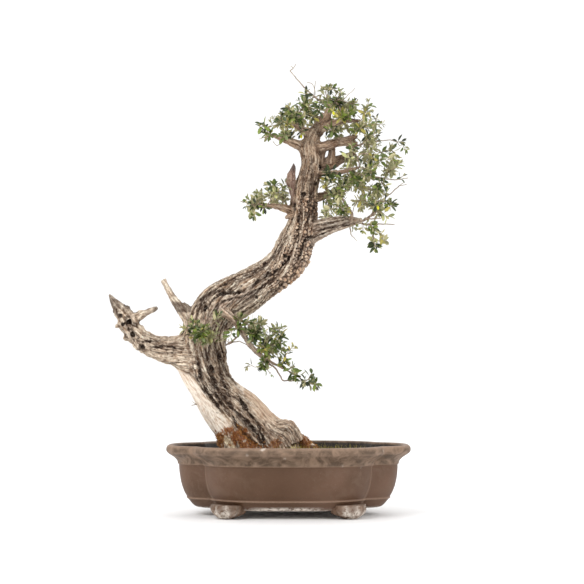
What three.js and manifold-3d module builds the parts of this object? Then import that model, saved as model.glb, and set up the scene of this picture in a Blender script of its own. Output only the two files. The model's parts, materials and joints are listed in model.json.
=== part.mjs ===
// Olive bonsai in an unglazed quatrefoil pot on cloud feet.
// Units are millimetres, +Z up, +X to the viewer's right, -Y towards the viewer.
// Everything is laid out about the pot's own centre (X = Y = 0, table top at
// Z = 0). The finished group is then moved sideways, so that the middle of the
// plan of the whole object sits over the origin.
import * as THREE from 'three';
import { mergeVertices } from 'three/addons/utils/BufferGeometryUtils.js';
import Module from 'manifold-3d';

const wasm = await Module();
wasm.setup();

// ---------------------------------------------------------------- sizes (mm)
const GAP = 0.35;                 // clearance between parts that touch

const POT = {
  length: 460,                    // over the lip, left to right
  depth: 330,                     // over the lip, front to back
  height: 131,                    // table to the top of the lip
  frontLobeHalf: 187.6,           // half length of the front and back lobes
  sideLobeHalf: 111.3,            // half depth of the two side lobes
  lobePower: 3,                   // squareness of each lobe
  floorZ: 27,                     // top of the floor inside
  undersideZ: 14,                 // flat underside, carried on the feet
  segments: 48,
};
// outside of the bowl, from the underside up: [inset from the lip, height]
const POT_OUTSIDE = [
  [68, 14], [55, 15.5], [41, 31], [34, 43],
  [27, 63], [23.5, 96], [15, 107.5], [4.5, 115],
  [0, 121], [4, 131],
];
// inside of the bowl, from the lip down to the floor
const POT_INSIDE = [[14, 130], [33, 92], [39, 56], [62, POT.floorZ]];

const FOOT = {
  x: 110, y: 91,                  // centre, from the pot's centre
  lobes: 5, radius: 34, lobeDepth: 0.13,
  height: 27,                     // before the bowl is cut out of its top
  sole: 0.64,                     // sole size over top size
};

const SOIL = { edgeZ: 111, moundZ: 119.5, trunkX: -46, trunkHalf: 94, trunkDepth: 92 };

const TRUNK = {
  groundZ: 120,                   // flat cut where the trunk meets the soil
  sides: 12, rings: 25,
  ribs: 5, ribDepth: 0.06,        // long ribs of the old wood
  lowerBendZ: 334,                // lower split, at the sharp lower bend
};
const UPPER_SPLIT = { at: [9, -14, 497], dir: [0.36, -0.03, 0.93] };

// centrelines: [x, y, z, radius]
const TRUNK_LINE = [
  [-55, 6, 104, 66], [-86, 8, 165, 54], [-123, 10, 210, 46], [-146, 10, 245, 42],
  [-158, 9, 279, 42.5], [-161, 8, 313, 43], [-159, 6, 343, 43], [-148, 4, 372, 45.5],
  [-127, 2, 395, 46.5], [-99, 0, 411, 44], [-75, -3, 424, 41], [-52, -6, 438, 38],
  [-31, -9, 450, 36], [-13, -11, 464, 36], [1, -13, 480, 37], [9, -14, 497, 37],
  [16, -15, 517, 34], [24, -16, 540, 30.5], [29, -16, 567, 26.5], [29, -17, 593, 27.5],
  [33, -17, 616, 24.5], [39, -18, 639, 22], [43, -18, 662, 20], [41, -18, 685, 20],
  [43, -18, 708, 16], [56, -17, 731, 12], [69, -16, 752, 7.5],
];
const ROOT_BURL = [[-78, -8, 210, 20], [-58, -8, 186, 22], [-29, -8, 157, 27], [-5, -6, 136, 30], [2, -6, 104, 33]];
const LEFT_ROOT = [[-138, 0, 218, 26], [-116, -2, 169, 26], [-93, -4, 104, 31]];
const BACK_ROOT = [[-95, 30, 190, 24], [-62, 44, 150, 30], [-44, 52, 104, 36]];

// dead wood: bare, bleached limbs
const DEADWOOD = {
  deadwood_arm:   [[-166, 6, 284, 40], [-206, 2, 303, 32], [-233, 0, 309, 26.5], [-259, -2, 317, 22], [-280, -4, 330, 20], [-290, -5, 344, 18]],
  deadwood_spike: [[-289, -5, 336, 18], [-303, -6, 360, 22], [-314, -6, 379, 16], [-326, -6, 394, 10.5], [-333, -6, 404, 7.2], [-340.5, -6, 414.5, 1.3]],
  deadwood_horn:  [[-300, -8, 364, 13], [-280, -9, 375, 9.5], [-264, -10, 382, 6.3], [-248, -11, 388, 3.2]],
  deadwood_stub:  [[-168, -2, 340, 17], [-191, -6, 370, 15], [-206, -8, 391, 11.5], [-219, -9, 408, 8], [-229, -10, 427, 6.2], [-237, -11, 441, 5.4]],
  pointed_stub:   [[18, -30, 584, 9.4], [8, -36, 610, 9.8], [5, -37, 633, 9.8], [7, -37, 648, 6.8], [9, -37, 660, 1.6]],
};
const DEADWOOD_ROWS = 5;

const BOUGHS = {
  bough_right:       [[12, -14, 500, 21], [45, -16, 527, 17], [79, -20, 541, 14], [109, -24, 548, 11.5], [132, -27, 553, 6]],
  bough_top_right:   [[40, -18, 690, 13], [71, -20, 695, 10.5], [98, -24, 704, 8.5], [128, -28, 714, 5]],
  bough_back_right:  [[45, -10, 657, 15], [75, -2, 664, 14], [99, 8, 674, 9.5], [124, 22, 689, 6]],
  bough_mid_right:   [[44, -22, 646, 11.5], [78, -34, 645, 7.6], [105, -44, 645, 6.4], [130, -50, 652, 4.5]],
  bough_top_left:    [[44, -20, 684, 13], [14, -22, 700, 9.5], [-9, -24, 709, 6.6], [-31, -26, 717, 4]],
  bough_left:        [[28, -18, 570, 13], [3, -20, 574, 9.5], [-20, -24, 580, 6.8], [-50, -28, 583, 4]],
  bough_crown_back:  [[54, -14, 722, 11], [64, 10, 742, 8.5], [66, 38, 766, 5.5]],
  bough_back:        [[43, -14, 672, 13], [46, 20, 690, 9.6], [62, 50, 708, 6]],
  bough_back_low:    [[32, -10, 598, 12], [62, 14, 604, 9], [96, 40, 618, 6]],
  bough_low:         [[-128, -24, 386, 12], [-102, -46, 365, 7.5], [-85, -48, 338, 6], [-64, -48, 310, 5.2], [-38, -48, 289, 4.4], [-8, -48, 273, 3.4]],
  bough_low_left:    [[-156, -20, 368, 9.5], [-158, -46, 352, 6.6], [-162, -58, 340, 4.4]],
};
const BOUGH_ROWS = 4;

const TWIGS = {
  twig_leader:    [[66, -18, 774, 4.4], [47, -20, 792, 3.3], [26, -22, 813, 2.6], [5, -24, 841, 1.9], [9, -25, 854, 1]],
  twig_right_tip: [[176, -20, 618, 3.2], [200, -22, 616, 2.4], [213, -23, 626, 1.8], [226, -24, 633, 1]],
  twig_hanging:   [[148, -24, 548, 3.6], [158, -25, 532, 2.6], [161, -26, 513, 2.4], [162, -26, 496, 1.6]],
  twig_low_tip:   [[14, -46, 266, 2.6], [34, -46, 262, 2], [50, -46, 251, 1.2]],
};
const TWIG_ROWS = 3;
const RUNS_THROUGH = [...Object.keys(DEADWOOD), 'bough_low', ...Object.keys(TWIGS)];

// leaf masses: centre, half sizes along x, y, z. Listed from the top down.
const MASSES = {
  leaves_apex:             { at: [77, -18, 797],   half: [45, 42, 22] },
  leaves_crown_front:      { at: [68, -60, 752],   half: [58, 36, 25] },
  leaves_crown_back:       { at: [69, 46, 773],    half: [60, 52, 30] },
  leaves_crown_left:       { at: [-12, -20, 731],  half: [49, 62, 29] },
  leaves_crown_right:      { at: [143, -12, 735],  half: [44, 62, 26] },
  leaves_upper_right:      { at: [140, -48, 667],  half: [46, 50, 25] },
  leaves_upper_right_back: { at: [131, 48, 695],   half: [50, 54, 29] },
  leaves_outer_right:      { at: [194, -12, 666],  half: [30, 48, 42] },
  leaves_inner_right:      { at: [93, -54, 609],   half: [32, 38, 31] },
  leaves_inner_right_back: { at: [104, 44, 628],   half: [42, 48, 34] },
  leaves_lower_right:      { at: [161, -14, 597],  half: [39, 58, 34] },
  leaves_low_tip_right:    { at: [146, -26, 531],  half: [26, 28, 21] },
  leaves_left_inner:       { at: [-30, -18, 600],  half: [34, 54, 25] },
  leaves_left_outer:       { at: [-68, -26, 583],  half: [24, 38, 25] },
  leaves_low_front:        { at: [-153, -62, 338], half: [48, 24, 24] },
  leaves_low_bridge:       { at: [-90, -60, 364],  half: [27, 24, 17] },
  leaves_low_right:        { at: [-38, -48, 321],  half: [42, 44, 32] },
  leaves_low_right_tip:    { at: [2, -48, 271],    half: [32, 30, 16] },
};
const MASS = { detail: 2, lump: 0.13 };

const LOOKS = {
  clay:     { color: 0x70574a, roughness: 0.78, metalness: 0 },
  foot:     { color: 0x86746a, roughness: 0.85, metalness: 0 },
  soil:     { color: 0x2b221b, roughness: 1, metalness: 0 },
  bark:     { color: 0x8f8175, roughness: 0.92, metalness: 0 },
  deadwood: { color: 0xb5a89a, roughness: 0.88, metalness: 0 },
  twig:     { color: 0x7a6a5b, roughness: 0.9, metalness: 0 },
  leaf:     { color: 0x5b7040, roughness: 0.6, metalness: 0 },
};

// ------------------------------------------------------------------- helpers
const bare = (geometry) => {
  geometry.deleteAttribute('normal');
  geometry.deleteAttribute('uv');
  return mergeVertices(geometry, 1e-4);
};

const toSolid = (geometry) => new wasm.Manifold(new wasm.Mesh({
  numProp: 3,
  vertProperties: new Float32Array(geometry.attributes.position.array),
  triVerts: new Uint32Array(geometry.index.array),
}));

// the largest piece of what is left after a cut
const largest = (solid) => solid.decompose().sort((a, b) => b.volume() - a.volume())[0];

const toGeometry = (solid) => {
  const mesh = solid.getMesh();
  const geometry = new THREE.BufferGeometry();
  geometry.setAttribute('position', new THREE.BufferAttribute(new Float32Array(mesh.vertProperties), 3));
  geometry.setIndex(new THREE.BufferAttribute(new Uint32Array(mesh.triVerts), 1));
  return geometry;
};

// A closed, tapering limb swept along a smooth line through its stations.
function limb(stations, { rows = 6, sides = 8, grow = 0, ribs = 0, ribDepth = 0, turn = 0 } = {}) {
  const line = new THREE.CatmullRomCurve3(stations.map((s) => new THREE.Vector3(s[0], s[1], s[2])), false, 'centripetal');
  const count = stations.length - 1;
  const radiusAt = (t) => {
    const u = Math.min(t * count, count - 1e-6);
    const i = Math.floor(u);
    return THREE.MathUtils.lerp(stations[i][3], stations[i + 1][3], u - i);
  };
  const frames = { at: [], side: [], up: [] };
  let side = null;
  for (let i = 0; i <= rows; i++) {
    const t = i / rows;
    const along = line.getTangent(t).normalize();
    if (side === null) side = new THREE.Vector3(0, 1, 0);
    side = side.clone().addScaledVector(along, -side.dot(along)).normalize();
    const at = line.getPoint(t);
    if (i === 0) at.addScaledVector(along, -grow);
    if (i === rows) at.addScaledVector(along, grow);
    frames.at.push(at);
    frames.side.push(side);
    frames.up.push(new THREE.Vector3().crossVectors(along, side));
  }
  const geometry = bare(new THREE.CylinderGeometry(1, 1, 1, sides, rows));
  const position = geometry.attributes.position;
  for (let v = 0; v < position.count; v++) {
    const i = Math.round((position.getY(v) + 0.5) * rows);
    const angle = Math.atan2(position.getX(v), position.getZ(v));
    const reach = Math.hypot(position.getX(v), position.getZ(v));
    const rib = 1 + ribDepth * Math.sin(ribs * angle + turn * i / rows);
    const radius = reach * (radiusAt(i / rows) * rib + grow);
    const p = frames.at[i].clone()
      .addScaledVector(frames.side[i], radius * Math.cos(angle))
      .addScaledVector(frames.up[i], radius * Math.sin(angle));
    position.setXYZ(v, p.x, p.y, p.z);
  }
  const solid = toSolid(geometry);
  return solid.volume() > 0 ? solid : toSolid(flipped(geometry));
}

function flipped(geometry) {
  const index = geometry.index.array;
  for (let i = 0; i < index.length; i += 3) [index[i], index[i + 1]] = [index[i + 1], index[i]];
  return geometry;
}

// An uneven, lumpy pad of leaves.
function leafMass({ at, half }, seed, grow = 0) {
  const geometry = bare(new THREE.IcosahedronGeometry(1, MASS.detail));
  const position = geometry.attributes.position;
  const p = new THREE.Vector3();
  for (let v = 0; v < position.count; v++) {
    p.fromBufferAttribute(position, v).normalize();
    const lump = 1 + MASS.lump * (
      0.55 * Math.sin(3.1 * p.x + 1.7 * seed) * Math.cos(2.7 * p.y - seed)
      + 0.45 * Math.sin(5.3 * p.y + 2.3 * p.z + 2.9 * seed)
      + 0.35 * Math.cos(6.1 * p.x - 4.2 * p.z + 0.7 * seed));
    position.setXYZ(v,
      at[0] + p.x * (half[0] * lump + grow),
      at[1] + p.y * (half[1] * lump + grow),
      at[2] + p.z * (half[2] * lump + grow));
  }
  return toSolid(geometry);
}

// Plan of the pot: two crossing rounded lobes that meet in a notch.
function planRadius(angle, inset) {
  const lobe = (a, b) => Math.pow(
    Math.pow(Math.abs(Math.cos(angle)) / (a - inset), POT.lobePower)
    + Math.pow(Math.abs(Math.sin(angle)) / (b - inset), POT.lobePower), -1 / POT.lobePower);
  return Math.max(lobe(POT.frontLobeHalf, POT.depth / 2), lobe(POT.length / 2, POT.sideLobeHalf));
}

// A closed bowl or plug from a list of [inset, height] rings.
function ringed(rings) {
  const rows = rings.length - 1;
  const geometry = bare(new THREE.CylinderGeometry(1, 1, 1, POT.segments, rows));
  const position = geometry.attributes.position;
  for (let v = 0; v < position.count; v++) {
    const i = Math.round((position.getY(v) + 0.5) * rows);
    const angle = Math.atan2(position.getX(v), position.getZ(v));
    const reach = Math.hypot(position.getX(v), position.getZ(v)) * planRadius(angle, rings[i][0]);
    const x = reach * Math.cos(angle);
    const y = reach * Math.sin(angle);
    position.setXYZ(v, x, y, rings[i][1]);
  }
  const solid = toSolid(geometry);
  return solid.volume() > 0 ? solid : toSolid(flipped(geometry));
}

function foot(signX, signY, grow = 0) {
  const sides = 15;
  const levels = [[FOOT.sole, 0], [0.98, 11], [1.0, FOOT.height]];
  const rows = levels.length - 1;
  const geometry = bare(new THREE.CylinderGeometry(1, 1, 1, sides, rows));
  const position = geometry.attributes.position;
  const facing = Math.atan2(signY * FOOT.y, signX * FOOT.x);
  for (let v = 0; v < position.count; v++) {
    const i = Math.round((position.getY(v) + 0.5) * rows);
    const angle = Math.atan2(position.getX(v), position.getZ(v));
    const scallop = 1 + FOOT.lobeDepth * Math.abs(Math.cos(FOOT.lobes * (angle - facing) / 2)) - FOOT.lobeDepth / 2;
    const reach = Math.hypot(position.getX(v), position.getZ(v)) * (FOOT.radius * scallop * levels[i][0] + grow);
    position.setXYZ(v, signX * FOOT.x + reach * Math.cos(angle), signY * FOOT.y + reach * Math.sin(angle), levels[i][1]);
  }
  const solid = toSolid(geometry);
  return solid.volume() > 0 ? solid : toSolid(flipped(geometry));
}

// ---------------------------------------------------------------- build solids
const solids = new Map();

// pot: an outer plug with the inside taken out
const potOuter = ringed(POT_OUTSIDE);
const potInner = ringed([...POT_INSIDE].reverse().concat([[11, 136]]));
const pot = largest(potOuter.subtract(potInner));
solids.set('pot', [pot, LOOKS.clay]);

// feet: cut to the curve of the bowl that they carry
const potGrown = ringed(POT_OUTSIDE.map(([inset, z]) => [inset - GAP * 1.6, z <= 20 ? z - GAP : z]));
for (const [name, sx, sy] of [['foot_front_left', -1, -1], ['foot_front_right', 1, -1], ['foot_back_left', -1, 1], ['foot_back_right', 1, 1]]) {
  solids.set(name, [largest(foot(sx, sy).subtract(potGrown)), LOOKS.foot]);
}

// trunk, from the flat cut at the soil to the fork in the crown, in three lengths
const trunkOptions = { rows: TRUNK.rings, sides: TRUNK.sides, ribs: TRUNK.ribs, ribDepth: TRUNK.ribDepth, turn: 4 };
const rootOptions = { rows: 5, sides: 10, ribs: 4, ribDepth: 0.07 };
const wholeTrunk = (grow) => limb(TRUNK_LINE, { ...trunkOptions, grow })
  .add(limb(ROOT_BURL, { ...rootOptions, grow }))
  .add(limb(LEFT_ROOT, { ...rootOptions, grow }))
  .add(limb(BACK_ROOT, { ...rootOptions, grow }));
const trunk = wholeTrunk(0);
const trunkGrown = wholeTrunk(GAP);
const splitDir = new THREE.Vector3(...UPPER_SPLIT.dir).normalize();
const splitAt = splitDir.dot(new THREE.Vector3(...UPPER_SPLIT.at));
const down = [-splitDir.x, -splitDir.y, -splitDir.z];
const lower = trunk.trimByPlane([0, 0, 1], TRUNK.groundZ).trimByPlane([0, 0, -1], -TRUNK.lowerBendZ);
const middle = trunk.trimByPlane([0, 0, 1], TRUNK.lowerBendZ + GAP).trimByPlane(down, -splitAt);
const upper = trunk.trimByPlane(splitDir.toArray(), splitAt + GAP);
solids.set('trunk_lower', [largest(lower), LOOKS.bark]);
solids.set('trunk_middle', [largest(middle), LOOKS.bark]);
solids.set('trunk_upper', [largest(upper), LOOKS.bark]);

// soil: level at the rim, with a mound on it that is the seat of the trunk
const mound = (() => {
  const rows = 2;
  const sides = 16;
  const geometry = bare(new THREE.CylinderGeometry(1, 1, 1, sides, rows));
  const position = geometry.attributes.position;
  const profile = [[1.36, SOIL.edgeZ + GAP], [1.33, SOIL.edgeZ + 1.5], [1, SOIL.moundZ]];
  for (let v = 0; v < position.count; v++) {
    const i = Math.round((position.getY(v) + 0.5) * rows);
    const angle = Math.atan2(position.getX(v), position.getZ(v));
    const reach = Math.hypot(position.getX(v), position.getZ(v)) * profile[i][0];
    position.setXYZ(v, SOIL.trunkX + reach * SOIL.trunkHalf * Math.cos(angle), reach * SOIL.trunkDepth * Math.sin(angle), profile[i][1]);
  }
  const solid = toSolid(geometry);
  return solid.volume() > 0 ? solid : toSolid(flipped(geometry));
})();
const insideOfBowl = ringed([...POT_INSIDE].reverse().map(([inset, z]) => [inset + GAP * 1.6, z + GAP]));
solids.set('soil', [largest(insideOfBowl.trimByPlane([0, 0, -1], -SOIL.edgeZ)), LOOKS.soil]);
solids.set('soil_mound', [largest(mound.intersect(insideOfBowl)), LOOKS.soil]);

// limbs: each is cut clear of the trunk and of the limbs made before it. A bough
// stops where it meets a leaf mass; wood named in RUNS_THROUGH keeps its whole
// length, and the leaf masses are cut round it.
const massNames = Object.keys(MASSES);
const madeGrown = [trunkGrown];
const runsThrough = [trunkGrown];
const addLimbs = (group, options, look) => {
  for (const [name, stations] of Object.entries(group)) {
    let solid = limb(stations, options);
    const grown = limb(stations, { ...options, grow: GAP });
    for (const other of madeGrown) solid = solid.subtract(other);
    if (RUNS_THROUGH.includes(name)) runsThrough.push(grown);
    else massNames.forEach((mass, index) => { solid = solid.subtract(leafMass(MASSES[mass], index + 1, GAP)); });
    solids.set(name, [largest(solid), look]);
    madeGrown.push(grown);
  }
};
addLimbs(DEADWOOD, { rows: DEADWOOD_ROWS, sides: 6, ribs: 3, ribDepth: 0.08 }, LOOKS.deadwood);
addLimbs(BOUGHS, { rows: BOUGH_ROWS, sides: 6 }, LOOKS.bark);
addLimbs(TWIGS, { rows: TWIG_ROWS, sides: 4 }, LOOKS.twig);

// leaf masses: neighbours meet at a plane, and every limb keeps its own clear way
massNames.forEach((name, index) => {
  const own = MASSES[name];
  let solid = leafMass(own, index + 1);
  massNames.forEach((otherName, otherIndex) => {
    if (otherIndex === index) return;
    const other = MASSES[otherName];
    const between = new THREE.Vector3(...other.at).sub(new THREE.Vector3(...own.at));
    const distance = between.length();
    between.normalize();
    const extent = (m) => 1.16 * Math.hypot(between.x * m.half[0], between.y * m.half[1], between.z * m.half[2]);
    const a = extent(own);
    const b = extent(other);
    if (a + b <= distance) return;
    const plane = between.dot(new THREE.Vector3(...own.at)) + distance * a / (a + b) - GAP / 2;
    solid = solid.trimByPlane([-between.x, -between.y, -between.z], -plane);
  });
  for (const other of runsThrough) solid = solid.subtract(other);
  solids.set(name, [largest(solid), LOOKS.leaf]);
});

// ------------------------------------------------------------------- assembly
const group = new THREE.Group();
group.name = 'olive_bonsai';
const reach = new THREE.Box3();
let triangles = 0;
for (const [name, [solid, look]] of solids) {
  const geometry = toGeometry(solid);
  geometry.computeBoundingBox();
  reach.union(geometry.boundingBox);
  triangles += geometry.index.count / 3;
  const mesh = new THREE.Mesh(geometry, new THREE.MeshStandardMaterial(look));
  mesh.name = name;
  group.add(mesh);
}
const middleX = (reach.min.x + reach.max.x) / 2;
const middleY = (reach.min.y + reach.max.y) / 2;
for (const mesh of group.children) mesh.position.set(-middleX, -middleY, -reach.min.z);

export default group;
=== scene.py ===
# Olive bonsai in an unglazed quatrefoil pot: the visual model.
# Lengths in the tables below are millimetres about the pot's own centre, as in
# the CAD; MM and SHIFT take them to the shared frame in metres.
import json
import math
import time

import bpy
import numpy as np
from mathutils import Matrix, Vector

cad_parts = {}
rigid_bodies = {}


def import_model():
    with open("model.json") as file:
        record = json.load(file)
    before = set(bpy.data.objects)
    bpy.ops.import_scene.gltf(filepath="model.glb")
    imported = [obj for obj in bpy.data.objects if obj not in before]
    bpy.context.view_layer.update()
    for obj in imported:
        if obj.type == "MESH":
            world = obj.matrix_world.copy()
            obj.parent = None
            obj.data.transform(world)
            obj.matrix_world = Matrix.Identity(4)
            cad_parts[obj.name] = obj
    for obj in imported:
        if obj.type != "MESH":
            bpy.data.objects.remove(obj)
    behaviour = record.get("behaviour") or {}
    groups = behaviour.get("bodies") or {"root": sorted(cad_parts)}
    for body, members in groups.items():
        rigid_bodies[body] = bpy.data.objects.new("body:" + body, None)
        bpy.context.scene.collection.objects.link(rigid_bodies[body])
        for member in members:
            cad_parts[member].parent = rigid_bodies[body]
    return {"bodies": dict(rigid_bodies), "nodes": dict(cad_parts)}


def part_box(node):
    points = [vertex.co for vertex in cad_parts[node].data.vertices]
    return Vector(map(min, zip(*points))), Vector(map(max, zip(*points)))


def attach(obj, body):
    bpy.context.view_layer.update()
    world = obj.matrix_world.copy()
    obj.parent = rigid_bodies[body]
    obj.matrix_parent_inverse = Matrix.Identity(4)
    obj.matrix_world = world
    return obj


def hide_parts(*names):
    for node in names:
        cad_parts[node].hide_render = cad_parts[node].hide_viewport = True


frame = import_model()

T0 = time.time()
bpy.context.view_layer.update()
MM = 0.001
_lo, _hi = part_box("pot")
SHIFT = np.array([(_lo[0] + _hi[0]) / 2, (_lo[1] + _hi[1]) / 2, 0.0])
F = np.float32


def say(*words):
    print("[scene %.1fs]" % (time.time() - T0), *words, flush=True)


# ------------------------------------------------------------------ the design
TRUNK = [
    (-55, 6, 96, 68), (-86, 8, 165, 54), (-123, 10, 210, 46), (-146, 10, 245, 42),
    (-158, 9, 279, 42.5), (-161, 8, 313, 43), (-159, 6, 343, 43), (-148, 4, 372, 45.5),
    (-127, 2, 395, 46.5), (-99, 0, 411, 44), (-75, -3, 424, 41), (-52, -6, 438, 38),
    (-31, -9, 450, 36), (-13, -11, 464, 36), (1, -13, 480, 37), (9, -14, 497, 37),
    (16, -15, 517, 34), (24, -16, 540, 30.5), (29, -16, 567, 26.5), (29, -17, 593, 27.5),
    (33, -17, 616, 24.5), (39, -18, 639, 22), (43, -18, 662, 20), (41, -18, 685, 20),
    (43, -18, 708, 16), (56, -17, 731, 12), (69, -16, 752, 7.5),
]
# name: (stations, kind, blend radius). Kinds: bark, dead, bough, root.
LIMBS = {
    "trunk": (TRUNK, "bark", 10),
    "burl": ([(-106, -8, 236, 13), (-78, -10, 213, 18), (-63, -12, 194, 22), (-50, -12, 174, 26), (-33, -11, 156, 29), (-12, -8, 140, 31), (0, -6, 96, 36)], "root", 9),
    "knob_a": ([(-26, -22, 164, 13), (-6, -24, 162, 16), (5, -24, 155, 15), (12, -22, 136, 16)], "root", 4),
    "knob_b": ([(14, -6, 146, 11), (29, -8, 134, 12), (34, -8, 114, 14)], "root", 4),
    "knob_c": ([(36, -14, 124, 9), (46, -16, 126, 7), (52, -16, 116, 8)], "root", 3),
    "pale_strip": ([(-204, 0, 288, 10), (-195, 0, 270, 13), (-184, -2, 250, 14), (-171, -2, 232, 14), (-158, -2, 212, 14), (-146, -2, 192, 12)], "root", 10),
    "left_root": ([(-138, 0, 218, 26), (-118, -6, 169, 25), (-97, -10, 132, 27), (-90, -12, 96, 33)], "root", 10),
    "front_root": ([(-108, -16, 176, 20), (-82, -26, 138, 24), (-66, -30, 100, 28)], "root", 8),
    "back_root": ([(-95, 30, 190, 24), (-62, 44, 150, 30), (-44, 52, 96, 36)], "root", 12),
    "deadwood_arm": ([(-150, 6, 270, 36), (-176, 4, 291, 36), (-206, 2, 304, 31), (-233, 0, 309, 26), (-259, -2, 317, 22), (-280, -4, 330, 20), (-290, -5, 344, 18)], "dead", 12),
    "arm_knuckle": ([(-262, -14, 312, 10), (-276, -14, 316, 12), (-288, -12, 326, 11)], "dead", 4),
    "deadwood_spike": ([(-287, -5, 336, 17), (-303, -6, 360, 20), (-313, -6, 379, 15), (-325, -6, 394, 10), (-333, -6, 404, 6.6), (-341, -6, 415, 1.6)], "dead", 7),
    "spike_burr": ([(-303, -10, 352, 12), (-318, -12, 356, 8), (-329, -12, 353, 3)], "dead", 3),
    "spike_burr_b": ([(-296, -4, 340, 13), (-306, -6, 333, 8), (-312, -6, 328, 4)], "dead", 3),
    "spike_crest": ([(-309, -8, 376, 12), (-306, -8, 388, 7), (-305, -8, 394, 3)], "dead", 3),
    "spike_barb": ([(-320, -4, 384, 8), (-330, -4, 383, 4), (-334, -4, 381, 2)], "dead", 2),
    "deadwood_horn": ([(-303, -8, 366, 15), (-290, -9, 371, 11), (-280, -9, 375, 9), (-264, -10, 382, 6.4), (-254, -11, 386.5, 5.2), (-248, -11, 388.5, 3.4)], "dead", 7),
    "deadwood_stub": ([(-166, -2, 336, 19), (-180, -5, 356, 16), (-193, -6, 374, 13), (-206, -8, 391, 10.5), (-219, -9, 408, 7.6), (-229, -10, 426, 6), (-238, -11, 442, 5.2)], "dead", 8),
    "stub_side": ([(-186, -10, 366, 10), (-190, -12, 384, 8), (-200, -12, 397, 5)], "dead", 4),
    "pointed_stub": ([(14, -30, 578, 4.5), (9, -34, 594, 4.2), (6, -36, 609, 5.4), (4.5, -37, 627, 8.8), (6.5, -37, 642, 7.4), (9, -37, 652, 4.4), (10, -37, 661, 1.4)], "dead", 4),
    "bough_right": ([(6, -14, 492, 22), (24, -16, 514, 19), (45, -17, 527, 16), (79, -20, 540, 12), (109, -24, 547, 8.4), (138, -27, 552, 4.4)], "grey", 8),
    "bough_right_top": ([(30, -24, 536, 13), (60, -26, 547, 9.5), (92, -26, 555.5, 6.6), (118, -27, 558, 3.4), (138, -28, 556, 2)], "grey", 4),
    "bough_top_right": ([(38, -18, 688, 14), (56, -19, 694, 12), (71, -20, 696, 10), (98, -24, 704, 8), (130, -28, 714, 4)], "bough", 7),
    "bough_top_knee": ([(92, -24, 703, 8), (112, -24, 702, 8), (130, -24, 697, 7)], "bough", 4),
    "bough_back_right": ([(42, -10, 657, 16), (75, -2, 664, 14), (99, 8, 674, 9.5), (128, 24, 690, 5)], "bough", 8),
    "snag_right": ([(80, -8, 664, 9), (82, -10, 682, 7.5), (83, -10, 694, 6.4)], "bough", 4),
    "bough_mid_right": ([(44, -20, 646, 11), (76, -26, 644, 5.8), (105, -36, 645, 4.6), (133, -44, 652, 3)], "bough", 6),
    "window_web": ([(50, -14, 648, 11), (58, -13, 668, 10), (63, -14, 692, 9)], "bough", 3),
    "bough_top_left": ([(46, -20, 682, 14), (28, -21, 693, 11), (14, -22, 700, 9), (-9, -24, 709, 6.4), (-34, -26, 717, 3.4)], "bough", 9),
    "bough_left": ([(28, -18, 568, 13), (3, -20, 574, 9.5), (-20, -24, 580, 6.6), (-54, -28, 583, 3.4)], "bough", 6),
    "left_snag": ([(16, -22, 566, 9), (2, -26, 562, 6), (-6, -28, 558, 3)], "bough", 3),
    "bough_crown_back": ([(54, -14, 722, 11), (64, 10, 742, 8.5), (66, 42, 768, 4.4)], "bough", 6),
    "bough_crown_top": ([(60, -17, 736, 10), (74, -20, 756, 8), (80, -22, 778, 5), (72, -20, 792, 2.6)], "bough", 5),
    "bough_crown_left": ([(46, -18, 712, 12), (32, -22, 724, 8), (12, -26, 736, 5.5), (-6, -30, 744, 2.8)], "bough", 6),
    "bough_crown_right": ([(60, -16, 730, 10), (84, -22, 738, 7.5), (108, -24, 744, 5.5), (136, -24, 744, 2.8)], "bough", 5),
    "bough_back": ([(43, -14, 670, 14), (46, 20, 690, 9.6), (64, 54, 710, 4.6)], "bough", 7),
    "bough_back_low": ([(32, -10, 596, 13), (62, 14, 604, 9), (100, 42, 620, 4.4)], "bough", 6),
    "bough_low": ([(-134, -14, 394, 15), (-112, -42, 374, 8.4), (-100, -47, 362, 6.6), (-85, -48, 338, 5.4), (-64, -48, 310, 4.4), (-38, -48, 289, 3.4), (-10, -48, 274, 2.2)], "bough", 6),
    "bough_low_left": ([(-156, -14, 372, 10), (-158, -44, 354, 6.4), (-163, -60, 340, 3)], "bough", 5),
}
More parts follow.
